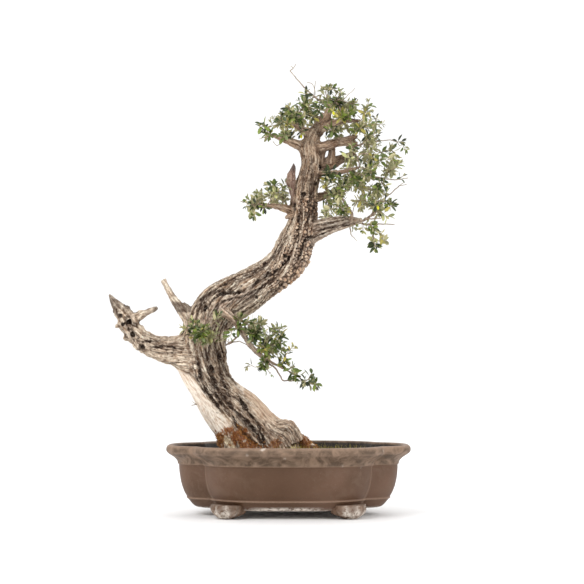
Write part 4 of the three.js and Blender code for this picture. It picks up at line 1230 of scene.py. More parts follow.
def leaf_materials():
    out = []
    for name, colour, rough in LEAF_LOOKS:
        sh = Shader(name, rough)
        mm = sh.coords()
        sh.base((*colour, 1))
        sh.set(Normal=sh.bump(sh.noise(mm, 0.7, 3, 0.6), 0.35, 0.0006))
        sh.bsdf.inputs["Specular IOR Level"].default_value = 0.35
        out.append(sh.mat)
    return out


def twig_material():
    sh = Shader("twig_bark", 0.8)
    mm = sh.coords()
    r = sh.attribute("girth", "Fac")
    n = sh.noise(mm, 0.22, 4, 0.6)
    k = sh.noise(mm, 1.1, 3, 0.6)
    old = sh.ramp(n, (0.3, srgb(104, 84, 70)), (0.5, srgb(150, 130, 114)), (0.7, srgb(196, 180, 162)))
    new = sh.ramp(n, (0.3, srgb(120, 104, 78)), (0.5, srgb(158, 142, 112)), (0.7, srgb(190, 180, 150)))
    c = sh.mix(sh.ramp(r, (0.08, 0.0), (0.30, 1.0)), new, old)
    c = sh.mix(sh.ramp(k, (0.58, 0.0), (0.72, 0.7)), c, srgb(70, 54, 44))
    sh.base(c)
    sh.set(Normal=sh.bump(sh.math("ADD", k, n), 0.6, 0.0006))
    sh.bsdf.inputs["Specular IOR Level"].default_value = 0.25
    return sh.mat


YELLOW = [(20, 718), (-18, 588), (166, 573), (78, 742)]


def build_foliage():
    g = Growth(41)
    rng = g.rng
    by_name = {l.name: l for l in LIMB}
    for name in LIMBS:
        if name.startswith("bough_"):
            g.seed_limb(by_name[name], 0.35)
    g.seed_limb(by_name["trunk"], 0.93)
    for y, x, z in ((2, -150, 209), (-6, 118, 553)):
        g.add((x, y, z), (-1, 0, 0), -1, 0.0, cap=6.0, wood=True)
    for name, (y, r0, r1, line) in TWIGS.items():
        g.lay_line([(x, y, z) for x, z in line], r0, r1)
    bare_count = len(g.P)
    # shoot tips, spread through each pad's clumps from front to back
    tips = []
    for pad, (front, back, lift, clumps) in PADS.items():
        for cx, cz, rx, rz in clumps:
            small = max(rx, rz)
            layers = max(1, int(round((back - front) / (2.3 * small))))
            share = math.pi * rx * rz / (78.0 if pad.startswith('crown') else 58.0 if pad.startswith('left') else 74.0)
            if pad in ("low_tip", "low_tip_right", "outer_right"):
                share *= 0.85
            for k in range(layers):
                y0 = front + (back - front) * (k + 0.5 + rng.uniform(-0.3, 0.3)) / layers
                m = rng.poisson(share / layers) + (1 if k == 0 else 0)
                for _ in range(m):
                    a, rr = rng.uniform(0, 2 * math.pi), math.sqrt(rng.uniform(0, 1))
                    tips.append((cx + rx * rr * math.cos(a) * 0.86, y0 + rng.normal() * small * 0.55, cz + rz * rr * math.sin(a) * 0.86, cx, y0, cz, lift))
    tips = np.array(tips)
    P = np.array(g.P)
    d = np.sqrt(((tips[:, None, :3] - P[None]) ** 2).sum(2)).min(1)
    for i in np.argsort(d):
        t = tips[i]
        a = t[:3].copy()
        a[1] = np.clip(a[1], -98, 100)
        away = (a - t[3:6]) / 12 + (a - np.array([70, 0, 690])) / 160 * (1 if a[2] > 450 else 0.3)
        end = unit(unit(away) * 0.7 + np.array([0, 0, t[6] * 1.3]) + rng.normal(size=3) * 0.32)
        g.grow_to(a, end)
    R = g.radii()
    say("skeleton", len(g.P), "tips", len(g.tips), "bare", bare_count)
    v, f, girth = tubes_of(g, R)
    twigs = make_mesh("twigs", v, f, twig_material(), floats={"girth": np.clip(girth / 4, 0, 1)})
    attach(twigs, BODY)
    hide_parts(*[n for n in frame["nodes"] if n.startswith("twig_")])
    say("twigs", len(f), "triangles")
    # leaves: opposite pairs, each turned a right angle from the last
    rows = {k: [] for k in ("at", "axis", "face", "length", "width", "curl", "fold", "top", "under")}
    up = np.array([0, 0, 1.0])

    def leaf(at, axis, face, length, top):
        rows["at"].append(at)
        rows["axis"].append(axis)
        rows["face"].append(face)
        rows["length"].append(length)
        rows["width"].append(length * rng.uniform(0.145, 0.235))
        rows["curl"].append(rng.uniform(-0.04, 0.20))
        rows["fold"].append(rng.uniform(0.1, 0.55))
        rows["top"].append(top)
        rows["under"].append(6 if rng.uniform() < 0.65 else 7)

    mixp = SPRAY_MIX / SPRAY_MIX.sum()
    for tip in g.tips:
        chain = [tip]
        while g.up[chain[-1]] >= 0 and not g.wood[g.up[chain[-1]]] and len(chain) < 14:
            chain.append(g.up[chain[-1]])
        pts = np.array([g.P[k] for k in chain])
        seg = np.concatenate([[0], np.cumsum(np.linalg.norm(np.diff(pts, axis=0), axis=1))])
        leafy = rng.uniform(13, 27)
        hue = rng.choice(len(LEAF_LOOKS), p=mixp)
        second = rng.choice(len(LEAF_LOOKS), p=mixp)
        big = rng.uniform(0.82, 1.14)
        spin = rng.uniform(0, math.pi)
        s = rng.uniform(0.2, 1.5)
        k = 0
        low = pts[0][2] < 420
        while s < min(leafy, seg[-1]):
            p = np.array([np.interp(s, seg, pts[:, c]) for c in range(3)])
            q = np.array([np.interp(min(s + 3, seg[-1]), seg, pts[:, c]) for c in range(3)])
            along = unit(p - q) if np.linalg.norm(p - q) > 1e-3 else g.D[tip]
            ref = unit(np.cross(along, [0.12, 0.2, 1.0]))
            ref2 = np.cross(along, ref)
            a = spin + k * math.pi / 2
            open_ = rng.uniform(0.75, 1.35) if s > 3 else rng.uniform(0.25, 0.7)
            size = 15.6 * big * np.interp(s, [0, 4, 12, 27], [0.62, 0.92, 1.0, 0.9])
            for sgn in (1, -1):
                if rng.uniform() < 0.06:
                    continue
                out = (ref * math.cos(a) + ref2 * math.sin(a)) * sgn
                ax = unit(along * math.cos(open_) + out * math.sin(open_) + rng.normal(size=3) * 0.12)
                face = unit(along * math.sin(open_) - out * math.cos(open_) + up * 0.9 + rng.normal(size=3) * 0.25)
                col = hue if rng.uniform() < 0.66 else second
                leaf(p + ax * 0.6, ax, face, size * rng.uniform(0.85, 1.12), col)
            k += 1
            s += rng.uniform(4.2, 7.0)
        # the pair that closes the tip
        for sgn in (1, -1):
            out = unit(np.cross(g.D[tip], rng.normal(size=3)))
            leaf(pts[0], unit(g.D[tip] + out * 0.35 * sgn), unit(up + out * 0.4), 9.5 * big * rng.uniform(0.8, 1.1), hue)
    sets = {k: np.array(v, float) for k, v in rows.items()}
    sets["top"] = sets["top"].astype(int)
    sets["under"] = sets["under"].astype(int)
    # stray leaves that have turned yellow
    for x, z in YELLOW:
        score = np.hypot(sets["at"][:, 0] - x, sets["at"][:, 2] - z) + 0.12 * sets["at"][:, 1]
        i = int(score.argmin())
        sets["top"][i] = sets["under"][i] = 5
        sets["width"][i] = sets["length"][i] * 0.26
        sets["face"][i] = unit([0, -1, 0.5])
        sets["axis"][i] = unit([0.1, -0.2, -0.9])
    mats = leaf_materials()
    at = sets["at"]
    groups = np.where(at[:, 2] < 450, 0, np.where(at[:, 2] > 700, 1, 2))
    where = {0: ("leaves_low", ["leaves_low_front", "leaves_low_bridge", "leaves_low_right", "leaves_low_right_tip"]),
             1: ("leaves_crown", [n for n in frame["nodes"] if n.startswith("leaves_crown") or n == "leaves_apex"]),
             2: ("leaves_middle", None)}
    done = set(where[0][1] + where[1][1])
    where[2] = ("leaves_middle", [n for n in frame["nodes"] if n.startswith("leaves_") and n not in done])
    for k, (name, nodes) in where.items():
        sub = {key: val[groups == k] for key, val in sets.items()}
        v, f, slots = make_leaves(sub)
        o = make_mesh(name, v, f, mats)
        o.data.polygons.foreach_set("material_index", slots.astype(np.int32))
        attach(o, BODY)
        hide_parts(*nodes)
        say(name, len(sub["at"]), "leaves", len(f), "triangles")


build_foliage()


# ------------------------------------------------------------------- the pot
POT_LENGTH, POT_DEPTH, LOBE_A, LOBE_B = 460.0, 330.0, 187.6, 111.3
# the bowl as turned: (inset from the lip, height), underside, wall, lip, inside
POT_PROFILE = [
    (300, 14.0, 1), (120, 14.0, 0), (70, 14.0, 0), (62, 14.2, 0), (55, 15.8, 0), (49.4, 20.4, 0), (44.0, 26.6, 0),
    (41.6, 30.2, 1), (39.4, 30.9, 0), (38.2, 32.6, 0), (38.9, 34.8, 1), (37.4, 37.4, 0), (34, 43.5, 0), (30.2, 53, 0), (27.2, 64, 0), (25.2, 76, 0),
    (24.2, 88, 0), (24.0, 94.6, 1), (22.6, 95.4, 0), (21.4, 96.8, 0), (21.6, 98.6, 1), (20.4, 101.4, 0), (18.0, 104.6, 0), (14.2, 108.2, 0),
    (9.6, 111.4, 0), (5.2, 114.4, 0), (2.0, 117.2, 1), (0.6, 119.4, 0), (0.0, 122.4, 0), (0.4, 126, 0), (2.0, 129, 0), (5.0, 130.8, 0),
    (9.0, 131.0, 0), (12.6, 130.2, 0), (14.6, 128.0, 1), (17.6, 121, 0), (21, 114, 0), (24.5, 107, 0), (33, 92, 0), (39, 56, 0), (62, 28, 0), (120, 27, 0), (300, 27, 1),
]
FOOT_AT, FOOT_RADIUS, FOOT_TOP = (110.0, 91.0), 34.0, 25.5


def plan_radius(angle, inset):
    """Plan of the pot: two crossing rounded lobes that meet in a soft notch."""
    def lobe(a, b):
        return ((np.abs(np.cos(angle)) / np.maximum(a - inset, 1)) ** 3 + (np.abs(np.sin(angle)) / np.maximum(b - inset, 1)) ** 3) ** (-1 / 3)
    p, q = lobe(LOBE_A, POT_DEPTH / 2), lobe(POT_LENGTH / 2, LOBE_B)
    k = 2.4
    h = np.clip(0.5 + 0.5 * (p - q) / k, 0, 1)
    return q * (1 - h) + p * h + k * h * (1 - h) * 0.6


def notch_nearness(angle):
    """1 on the notch between two lobes, falling off to either side."""
    p = ((np.abs(np.cos(angle)) / LOBE_A) ** 3 + (np.abs(np.sin(angle)) / (POT_DEPTH / 2)) ** 3) ** (-1 / 3)
    q = ((np.abs(np.cos(angle)) / (POT_LENGTH / 2)) ** 3 + (np.abs(np.sin(angle)) / LOBE_B) ** 3) ** (-1 / 3)
    return np.exp(-(np.abs(p - q) / 2.2) ** 1.2)


def fine_profile(points, step):
    """A smooth line through the profile, kept sharp where a point says so."""
    out, run = [], [points[0]]
    for p in points[1:]:
        run.append(p)
        if p[2] or p is points[-1]:
            line, at = catmull([(q[0], 0.0, q[1]) for q in run], step)
            out.append(line[:-1] if p is not points[-1] else line)
            run = [p]
    out = np.vstack(out)
    return out[:, 0], out[:, 2]


def clay_material(name, crusty):
    sh = Shader(name, 0.62)
    mm = sh.coords()
    place = sh.attribute("place")
    parts = sh.node("ShaderNodeSeparateColor", {0: place})
    edge, cove, lime = parts.outputs[0], parts.outputs[1], parts.outputs[2]
    big = sh.noise(mm, 0.011, 4, 0.55, 0.4)
    mid = sh.noise(mm, 0.05, 5, 0.6, 0.8)
    fine = sh.noise(mm, 0.42, 5, 0.65)
    grit = sh.noise(mm, 1.9, 3, 0.7)
    body = sh.mix(sh.ramp(big, (0.38, 0.0), (0.62, 1.0)), srgb(*CLAY_DARK), srgb(*CLAY_WARM))
    body = sh.mix(sh.ramp(mid, (0.46, 0.0), (0.66, 0.55)), body, srgb(*CLAY_GREY))
    smear = sh.ramp(sh.noise(mm, 0.034, 5, 0.68, 1.6), (0.40, 0.0), (0.62, 1.0))
    coved = sh.mix(smear, srgb(*COVE_DARK), srgb(*COVE_PALE))
    c = sh.mix(sh.math("MULTIPLY", cove, 0.85), body, coved)
    # painted shade: the front middle of the bowl darkened towards brown, where the two side lights fall off
    c = sh.mix(sh.math("MULTIPLY", sh.attribute("centre", "Fac"), sh.math("SUBTRACT", 0.72, cove)), c, srgb(70, 42, 14))
    c = sh.mix(sh.math("MULTIPLY", edge, sh.ramp(fine, (0.3, 0.45), (0.6, 1.0))), c, srgb(*CLAY_EDGE))
    c = sh.mix(sh.ramp(grit, (0.66, 0.0), (0.74, 0.5)), c, srgb(66, 46, 36))
    c = sh.mix(sh.ramp(sh.noise(mm, 0.9, 2, 0.5), (0.70, 0.0), (0.76, 0.5)), c, srgb(176, 156, 138))
    crust = sh.math("MULTIPLY", lime, sh.ramp(sh.noise(mm, 0.17, 5, 0.62, 0.6), (0.38, 0.0), (0.54, 1.0)))
    c = sh.mix(sh.math("MULTIPLY", crust, crusty), c, srgb(222, 212, 200))
    # the inner wall above the soil, near black: soil stain and painted shade
    c = sh.mix(sh.math("MULTIPLY", sh.attribute("soil_stain_and_shade", "Fac"), sh.ramp(mid, (0.3, 0.8), (0.6, 1.0))), c, srgb(20, 12, 8))
    sh.base(c)
    h = sh.math("ADD", sh.math("MULTIPLY", fine, 0.6), sh.math("MULTIPLY", grit, 0.4))
    h = sh.math("ADD", h, sh.math("MULTIPLY", crust, 0.8))
    sh.set(Normal=sh.bump(h, 0.30, 0.0009))
    sh.put(sh.ramp(mid, (0.3, 0.52), (0.7, 0.70)), sh.bsdf.inputs["Roughness"])
    sh.bsdf.inputs["Specular IOR Level"].default_value = 0.42
    return sh.mat


CLAY_DARK, CLAY_WARM, CLAY_GREY = (84, 58, 38), (102, 74, 56), (108, 86, 70)
COVE_DARK, COVE_PALE, CLAY_EDGE = (76, 60, 44), (136, 112, 92), (144, 118, 98)


def closed_rings(rings, pole_low, pole_high):
    """Quads round a stack of rings (rows x segments x 3) and fans to two poles, as quads."""
    rows, seg = rings.shape[:2]
    v = rings.reshape(-1, 3)
    i = np.arange(seg)
    j = (i + 1) % seg
    base = (np.arange(rows - 1) * seg)[:, None]
    q = np.stack([base + i, base + j, base + seg + j, base + seg + i], -1).reshape(-1, 4)
    tri = np.vstack([q[:, [0, 1, 2]], q[:, [0, 2, 3]]])
    v = np.vstack([v, pole_low, pole_high])
    n = rows * seg
    tri = np.vstack([tri, np.stack([np.full(seg, n), j, i], -1), np.stack([np.full(seg, n + 1), (rows - 1) * seg + i, (rows - 1) * seg + j], -1)])
    return v, tri


def build_pot():
    seg = 384
    inset, z = fine_profile(POT_PROFILE, 1.5)
    keep = (inset < 112)
    inset, z = inset[keep], z[keep]
    # even steps round the rim rather than even angles
    probe = np.linspace(-math.pi, math.pi, 4001)
    r = plan_radius(probe, 10.0)
    xy = np.stack([r * np.cos(probe), r * np.sin(probe)], 1)
    length = np.concatenate([[0], np.cumsum(np.linalg.norm(np.diff(xy, axis=0), axis=1))])
    angle = np.interp(np.linspace(0, length[-1], seg, endpoint=False), length, probe)
    A, I = np.meshgrid(angle, inset)
    Z = np.repeat(z[:, None], seg, 1)
    R = plan_radius(A, I)
    P = np.stack([R * np.cos(A), R * np.sin(A), Z], -1)
    flat = P.reshape(-1, 3)
    wave = perlin(flat / 70 + 4) * 0.9 + perlin(flat / 21 + 9) * 0.35 + perlin(flat / 6.5 + 2) * 0.16
    chips = smooth(perlin(flat / 9 + 31), 0.40, 0.55) * 0.7
    wave = wave.reshape(Z.shape)
    out_side = np.zeros_like(Z)
    top = int(np.argmax(z))
    out_side[:top] = 1
    hold = smooth(Z, 14.4, 22) * out_side
    on_edge = np.exp(-((Z - 118) / 2.5) ** 2) + np.exp(-((Z - 129.5) / 2.2) ** 2)
    dr = (wave - chips.reshape(Z.shape) * on_edge) * hold
    # pressed thumb marks and slips along the cove
    marks = perlin(np.stack([flat[:, 0] / 26, flat[:, 1] / 26, flat[:, 2] / 9], 1) + 17).reshape(Z.shape)
    dr += marks * 0.9 * np.exp(-((Z - 103) / 9) ** 2) * out_side
    dr = np.minimum(dr, 0.8)
    P[..., 0] += dr * np.cos(A)
    P[..., 1] += dr * np.sin(A)
    v, f = closed_rings(P, np.array([[0, 0, 14.0]]), np.array([[0, 0, 27.0]]))
    nn = notch_nearness(A) * out_side
    lip = np.exp(-((Z - 117.6) / 1.6) ** 2) * 0.35 + np.exp(-((Z - 129.0) / 2.6) ** 2) * 0.6 + 0.12 * smooth(Z, 116, 119)
    bead = np.exp(-((Z - 32.6) / 1.5) ** 2) * 0.9 + np.exp(-((Z - 96.8) / 1.3) ** 2) * 0.45
    edge = np.clip((lip + bead) * out_side + 0.75 * nn * smooth(Z, 18, 30) + 0.25 * smooth(Z, 129, 131), 0, 1)
    cove = (smooth(Z, 95, 98) * out_side) * 1.0
    cove = np.maximum(cove, smooth(Z, 118, 122) * 0.85)
    span = np.exp(-((P[..., 0] + 4) / 62) ** 4)
    lime = smooth(-Z, -24.0, -17.5) * (P[..., 1] < 0) * span * out_side * 1.0
    lime += 0.55 * smooth(-Z, -19, -15) * out_side
    # a few lime runs on the left and in the cove
    runs = perlin(np.stack([flat[:, 0] / 14, flat[:, 1] / 14, flat[:, 2] / 30], 1) + 40).reshape(Z.shape)
    lime += 0.8 * smooth(runs, 0.36, 0.5) * out_side * smooth(Z, 88, 96)
    place = np.stack([edge, cove, np.clip(lime, 0, 1)], -1).reshape(-1, 3)
    place = np.vstack([place, [[0, 0, 0.4], [0, 0, 0]]])
    # the inside of the wall below the rim: soil stain and painted shade
    soil_stain_and_shade = ((1 - out_side) * (1 - smooth(Z, 125.5, 129.5))).ravel()
    soil_stain_and_shade = np.concatenate([soil_stain_and_shade, [0, 1]])
    # painted shade on the front middle of the bowl, between the two lit lobes
    centre = np.exp(-((P[..., 0] + 20) / 75) ** 2).ravel() * (P[..., 1] < 0).ravel()
    centre = np.concatenate([centre, [0, 0]])
    pot = make_mesh("bowl", v, f, clay_material("unglazed_clay", 1.0), colour={"place": place}, floats={"soil_stain_and_shade": soil_stain_and_shade, "centre": centre})
    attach(pot, BODY)
    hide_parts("pot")
    say("bowl", len(f), "triangles")
    feet, faces, places, count = [], [], [], 0
    names = [n for n in frame["nodes"] if n.startswith("foot_")]
    for sx in (-1, 1):
        for sy in (-1, 1):
            n_seg, rows = 180, 34
            a = np.linspace(-math.pi, math.pi, n_seg, endpoint=False)
            t = np.linspace(0, 1, rows)
            A, T = np.meshgrid(a, t)
            facing = math.atan2(sy * FOOT_AT[1], sx * FOOT_AT[0])
            u = 5 * (A - facing) / 2
            lobes = np.abs(np.cos(u)) ** 0.62
            toes = np.abs(np.cos(5.0 * (A - facing) + 0.35 * np.sin(3 * (A - facing)) + 0.5)) ** 0.55
            Zf = T * FOOT_TOP
            side = smooth(np.abs(np.arctan2(np.sin(A - facing), np.cos(A - facing))), 0.55, 1.1)
            belly = np.interp(Zf, [0, 1.6, 4, 8, 12, 18, 26], [0.42, 0.55, 0.68, 0.86, 0.97, 1.04, 1.0])
            belly = belly - 0.16 * side * smooth(-Zf, -9.0, -3.0)
            low = 1 - smooth(Zf, 7, 20)
            reach = FOOT_RADIUS * belly * (0.86 + 0.14 * lobes - 0.20 * (1 - toes) * (0.20 + 0.80 * low))
            q = np.stack([sx * FOOT_AT[0] + reach * np.cos(A), sy * FOOT_AT[1] + reach * np.sin(A), Zf], -1)
            nz = perlin(q.reshape(-1, 3) / 6.0 + 3 * sx + 5 * sy).reshape(Zf.shape) * 0.7
            q[..., 0] += nz * np.cos(A) * smooth(Zf, 0, 3)
            q[..., 1] += nz * np.sin(A) * smooth(Zf, 0, 3)
            v, f = closed_rings(q, np.array([[sx * FOOT_AT[0], sy * FOOT_AT[1], 0.0]]), np.array([[sx * FOOT_AT[0], sy * FOOT_AT[1], FOOT_TOP]]))
            groove = 0.25 * (1 - lobes) + 1.2 * (1 - toes)
            out_face = smooth(np.cos(A - facing), -0.2, 0.6)
            pl = np.stack([0.5 * lobes * low, np.full_like(Zf, 0.3), np.clip((0.25 + 1.9 * groove) * out_face * (0.25 + 1.1 * low), 0, 1)], -1).reshape(-1, 3)
            pl = np.vstack([pl, [[0, 0, 0], [0, 0, 0]]])
            feet.append(v)
            faces.append(f + count)
            places.append(pl)
            count += len(v)
    o = make_mesh("cloud_feet", np.vstack(feet), np.vstack(faces), clay_material("limed_clay", 0.9), colour={"place": np.vstack(places)})
    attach(o, BODY)
    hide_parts(*names)
    say("feet")


build_pot()


# ------------------------------------------------------------------- the soil
def soil_height(x, y):
    """Top of the soil: low at the rim, heaped round the trunk."""
    d = np.hypot((x + 46) / 94, y / 92)
    return 110.2 + 8.3 * (1 - smooth(d, 0.92, 1.42))


def scatter_lumps(centres, sizes, squash, seed):
    """Small irregular stones: (vertices, triangles)."""
    g = (1 + 5 ** 0.5) / 2
    ico = np.array([(-1, g, 0), (1, g, 0), (-1, -g, 0), (1, -g, 0), (0, -1, g), (0, 1, g), (0, -1, -g), (0, 1, -g), (g, 0, -1), (g, 0, 1), (-g, 0, -1), (-g, 0, 1)], float)
    ico /= np.linalg.norm(ico[0])
    tri = np.array([(0, 11, 5), (0, 5, 1), (0, 1, 7), (0, 7, 10), (0, 10, 11), (1, 5, 9), (5, 11, 4), (11, 10, 2), (10, 7, 6), (7, 1, 8),
                    (3, 9, 4), (3, 4, 2), (3, 2, 6), (3, 6, 8), (3, 8, 9), (4, 9, 5), (2, 4, 11), (6, 2, 10), (8, 6, 7), (9, 8, 1)])
    r = np.random.default_rng(seed)
    n = len(centres)
    turn = r.normal(size=(n, 3, 3))
    turn, _ = np.linalg.qr(turn)
    v = np.einsum("ij,njk->nik", ico, turn) * (1 + r.uniform(-0.28, 0.28, (n, 12)))[..., None]
    v *= sizes[:, None, None] * np.stack([r.uniform(0.7, 1.2, n), r.uniform(0.7, 1.2, n), r.uniform(0.5, 0.9, n) * squash], 1)[:, None]
    v += centres[:, None]
    f = (tri[None] + (np.arange(n) * 12)[:, None, None]).reshape(-1, 3)
    flip = np.linalg.det(turn) < 0
    f = f.reshape(n, 20, 3)
    f[flip] = f[flip][:, :, ::-1]
    return v.reshape(-1, 3), f.reshape(-1, 3)


def blades(at, direction, length, width, bend, seed):
    """Narrow curved blades of three faces each, standing on points."""
    r = np.random.default_rng(seed)
    n = len(at)
    d = direction / np.linalg.norm(direction, axis=1)[:, None]
    s = np.cross(d, r.normal(size=(n, 3)))
    s /= np.linalg.norm(s, axis=1)[:, None]
    b = np.cross(d, s) * bend[:, None]
    w = width[:, None]
    L = length[:, None]
    v = np.stack([at - s * w, at + s * w, at + d * L * 0.55 + b * L * 0.12 + s * w * 0.7, at + d * L * 0.55 + b * L * 0.12 - s * w * 0.7, at + d * L + b * L * 0.42], 1)
    f = np.array([(0, 1, 2), (0, 2, 3), (3, 2, 4)])[None] + (np.arange(n) * 5)[:, None, None]
    return v.reshape(-1, 3), f.reshape(-1, 3)


def soil_material():
    sh = Shader("dark_soil", 0.95)
    mm = sh.coords()
    a = sh.noise(mm, 0.30, 5, 0.65)
    b = sh.noise(mm, 1.4, 3, 0.6)
    m = sh.noise(mm, 0.030, 4, 0.6, 0.5)
    c = sh.mix(sh.ramp(a, (0.35, 0.0), (0.65, 1.0)), srgb(28, 19, 12), srgb(68, 50, 34))
    c = sh.mix(sh.ramp(b, (0.60, 0.0), (0.70, 0.8)), c, srgb(112, 90, 68))
    c = sh.mix(sh.ramp(m, (0.55, 0.0), (0.66, 0.55)), c, srgb(84, 84, 40))
    sh.base(c)
    sh.set(Normal=sh.bump(sh.math("ADD", a, b), 0.8, 0.002))
    sh.bsdf.inputs["Specular IOR Level"].default_value = 0.2
    return sh.mat


def tuft_material(name, dark, light, scale=0.12):
    sh = Shader(name, 0.9)
    mm = sh.coords()
    n = sh.noise(mm, scale, 4, 0.6)
    k = sh.noise(mm, 1.3, 2, 0.6)
    c = sh.mix(sh.ramp(n, (0.36, 0.0), (0.64, 1.0)), srgb(*dark), srgb(*light))
    c = sh.mix(sh.ramp(k, (0.56, 0.0), (0.7, 0.6)), c, tuple(v * 0.35 for v in srgb(*dark)))
    sh.base(c)
    sh.set(Normal=sh.bump(k, 0.4, 0.0006))
    sh.bsdf.inputs["Specular IOR Level"].default_value = 0.15
    return sh.mat


def build_soil():
    seg, rows = ((260, 90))
    a = np.linspace(-math.pi, math.pi, seg, endpoint=False)
    t = np.linspace(0.01, 1, rows) ** 0.8
    A, T = np.meshgrid(a, t)
    R = plan_radius(A, 23.6) * T
    x, y = R * np.cos(A), R * np.sin(A)
    z = soil_height(x, y)
    P = np.stack([x, y, z], -1).reshape(-1, 3)
    bump = perlin(P / 24 + 3) * 3.4 + perlin(P / 8 + 8) * 2.2 + perlin(P / 3 + 1) * 0.9
    P[:, 2] += bump * smooth(1.06 - T.ravel(), 0, 0.12)
    P = P.reshape(rows, seg, 3)
    wall = np.stack([P[-1, :, 0] * 0.97, P[-1, :, 1] * 0.97, np.full(seg, 96.0)], -1)[None]
    v, f = closed_rings(np.concatenate([P, wall])[::-1], np.array([[0, 0, 96.0]]), np.array([[0, 0, float(P[0, :, 2].mean())]]))
    soil = make_mesh("soil_surface", v, f, soil_material())
    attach(soil, BODY)
    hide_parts("soil", "soil_mound")
    r = np.random.default_rng(5)
    n = 5200
    ang = r.uniform(-math.pi, math.pi, n)
    rad = np.sqrt(r.uniform(0, 1, n)) * plan_radius(ang, 27.0)
    c = np.stack([rad * np.cos(ang), rad * np.sin(ang)], 1)
    size = r.gamma(3.0, 0.62, n).clip(0.8, 4.6)
    top = soil_height(c[:, 0], c[:, 1]) + r.uniform(-0.6, 1.6, n)
    v, f = scatter_lumps(np.column_stack([c, top]), size, 0.9, 6)
    grit = make_mesh("soil_grit", v, f, tuft_material("soil_grit", (34, 24, 16), (112, 90, 66), 0.16), smooth_shade=False)
    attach(grit, BODY)
    # moss and thin grass on the soil, most of it right of the trunk
    n = 2600
    ang = r.uniform(-math.pi, math.pi, n * 3)
    rad = np.sqrt(r.uniform(0, 1, n * 3)) * plan_radius(ang, 32.0)
    p = np.stack([rad * np.cos(ang), rad * np.sin(ang), np.zeros(n * 3)], 1)
    want = smooth(perlin(p / 30 + 51), -0.1, 0.2) * np.interp(p[:, 0], [-160, -60, 10, 60, 190], [0.12, 0.3, 1.0, 0.9, 0.8])
    p = p[r.uniform(0, 1, n * 3) < want][:n]
    p[:, 2] = soil_height(p[:, 0], p[:, 1]) - 0.5
    d = np.column_stack([r.normal(size=(len(p), 2)) * 0.55, np.ones(len(p))])
    v, f = blades(p, d, (r.gamma(4.0, 1.6, len(p)) * np.interp(p[:, 0], [-80, 10, 40, 190], [0.7, 1.5, 2.1, 1.9])).clip(2.5, 20), r.uniform(0.34, 0.62, len(p)), r.uniform(0.4, 1.3, len(p)), 8)
    grass = make_mesh("soil_moss", v, f, tuft_material("soil_moss", (104, 96, 36), (206, 190, 110), 0.09))
    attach(grass, BODY)
    # tufts of rust-coloured moss on the foot of the trunk
    wood_v, wood_n, wood_q, _ = WOOD
    m = (wood_v[:, 2] < 178) & (wood_v[:, 2] > 112)
    wv, wn = wood_v[m], wood_n[m]
    k = moss_mask(wv)
    pick = r.uniform(0, 1, len(wv)) < k * 0.75
    wv, wn = wv[pick], wn[pick]
    rep = 2
    wv, wn = np.repeat(wv, rep, 0), np.repeat(wn, rep, 0)
    wv = wv + r.normal(size=wv.shape) * 0.9
    d = wn + r.normal(size=wn.shape) * 0.55 + np.array([0, 0, 0.35])
    v, f = blades(wv, d, r.gamma(4.0, 0.6, len(wv)).clip(1.0, 5.5), r.uniform(0.25, 0.5, len(wv)), r.uniform(0.3, 1.2, len(wv)), 9)
    moss = make_mesh("trunk_moss", v, f, tuft_material("rust_moss", (104, 58, 22), (214, 156, 92), 0.22))
    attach(moss, BODY)
    say("soil, grit", n, "moss", len(wv))


build_soil()


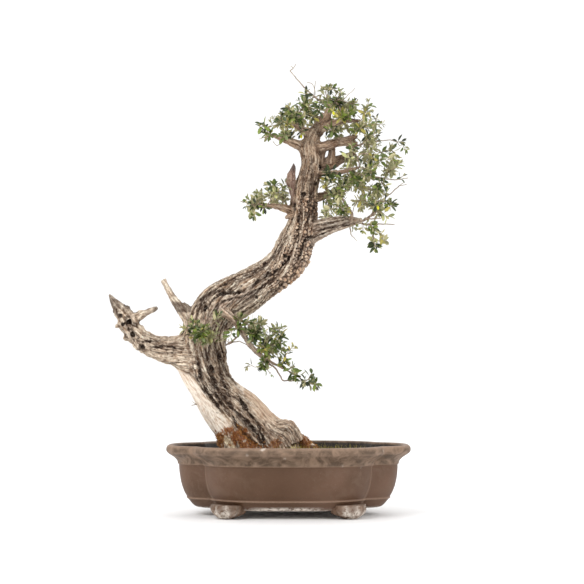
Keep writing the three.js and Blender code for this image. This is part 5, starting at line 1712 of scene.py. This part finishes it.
# ----------------------------------------------------- floor, light and camera
def build_stage():
    sc = bpy.context.scene
    # floor that turns up into a backdrop, far behind
    rows = [(y, 0.0) for y in (-9.0, -4.0, 0.0, 3.0)] + [(3.0 + 3.0 * math.sin(t), 3.0 - 3.0 * math.cos(t)) for t in np.linspace(0.1, math.pi / 2, 14)] + [(6.0, 9.0)]
    xs = (-12.0, -4.0, 0.0, 4.0, 12.0)
    verts = [((x - SHIFT[0]) / MM, (y - SHIFT[1]) / MM, (z - 0.0004) / MM) for y, z in rows for x in xs]
    n = len(xs)
    faces = [(r * n + c, r * n + c + 1, (r + 1) * n + c + 1, (r + 1) * n + c) for r in range(len(rows) - 1) for c in range(n - 1)]
    sh = Shader("pale_floor", 0.9)
    mm = sh.coords()
    near = sh.mix(sh.noise(mm, 0.01, 3, 0.5), (0.90, 0.90, 0.90), (0.93, 0.93, 0.93))
    # paler with distance, so its far edge melts into the white beyond
    away = sh.node("ShaderNodeVectorMath", {0: sh.coords(1.0)}, operation="LENGTH").outputs["Value"]
    sh.base(sh.mix(sh.ramp(sh.math("MULTIPLY", away, 0.25), (0.25, 0.0), (0.9, 1.0)), near, (0.975, 0.975, 0.975)))
    sh.bsdf.inputs["Specular IOR Level"].default_value = 0.1
    floor = make_mesh("floor", verts, faces, sh.mat)
    world = bpy.data.worlds.new("studio")
    sc.world = world
    world.use_nodes = True
    world.node_tree.nodes["Background"].inputs[0].default_value = (1, 1, 1, 1)
    world.node_tree.nodes["Background"].inputs[1].default_value = WORLD_LIGHT
    for name, at, size, power in LIGHTS:
        lamp = bpy.data.lights.new(name, "AREA")
        lamp.energy = power
        lamp.size = size
        o = bpy.data.objects.new(name, lamp)
        o.location = at
        o.rotation_euler = (Vector((SHIFT[0], 0, 0.42)) - Vector(at)).to_track_quat("-Z", "Y").to_euler()
        sc.collection.objects.link(o)
    cam = bpy.data.cameras.new("camera")
    cam.sensor_width = 36.0
    cam.lens = 1473.0 / 584.0 * 36.0
    cam.clip_end = 60
    o = bpy.data.objects.new("camera", cam)
    o.location = (0.00665 + SHIFT[0], -2.8 + SHIFT[1], 0.266)
    o.rotation_euler = (math.pi / 2 + 0.0547489, 0, 0)
    sc.collection.objects.link(o)
    sc.camera = o
    sc.view_settings.view_transform = "Standard"
    sc.view_settings.exposure = 0.0


WORLD_LIGHT = 1.05
LIGHTS = [("key", (-1.5, -2.0, 2.3), 1.3, 40), ("fill", (2.0, -1.6, 1.5), 1.8, 16), ("back", (0.3, 2.0, 2.3), 2.0, 20)]
build_stage()
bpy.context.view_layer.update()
say("done")
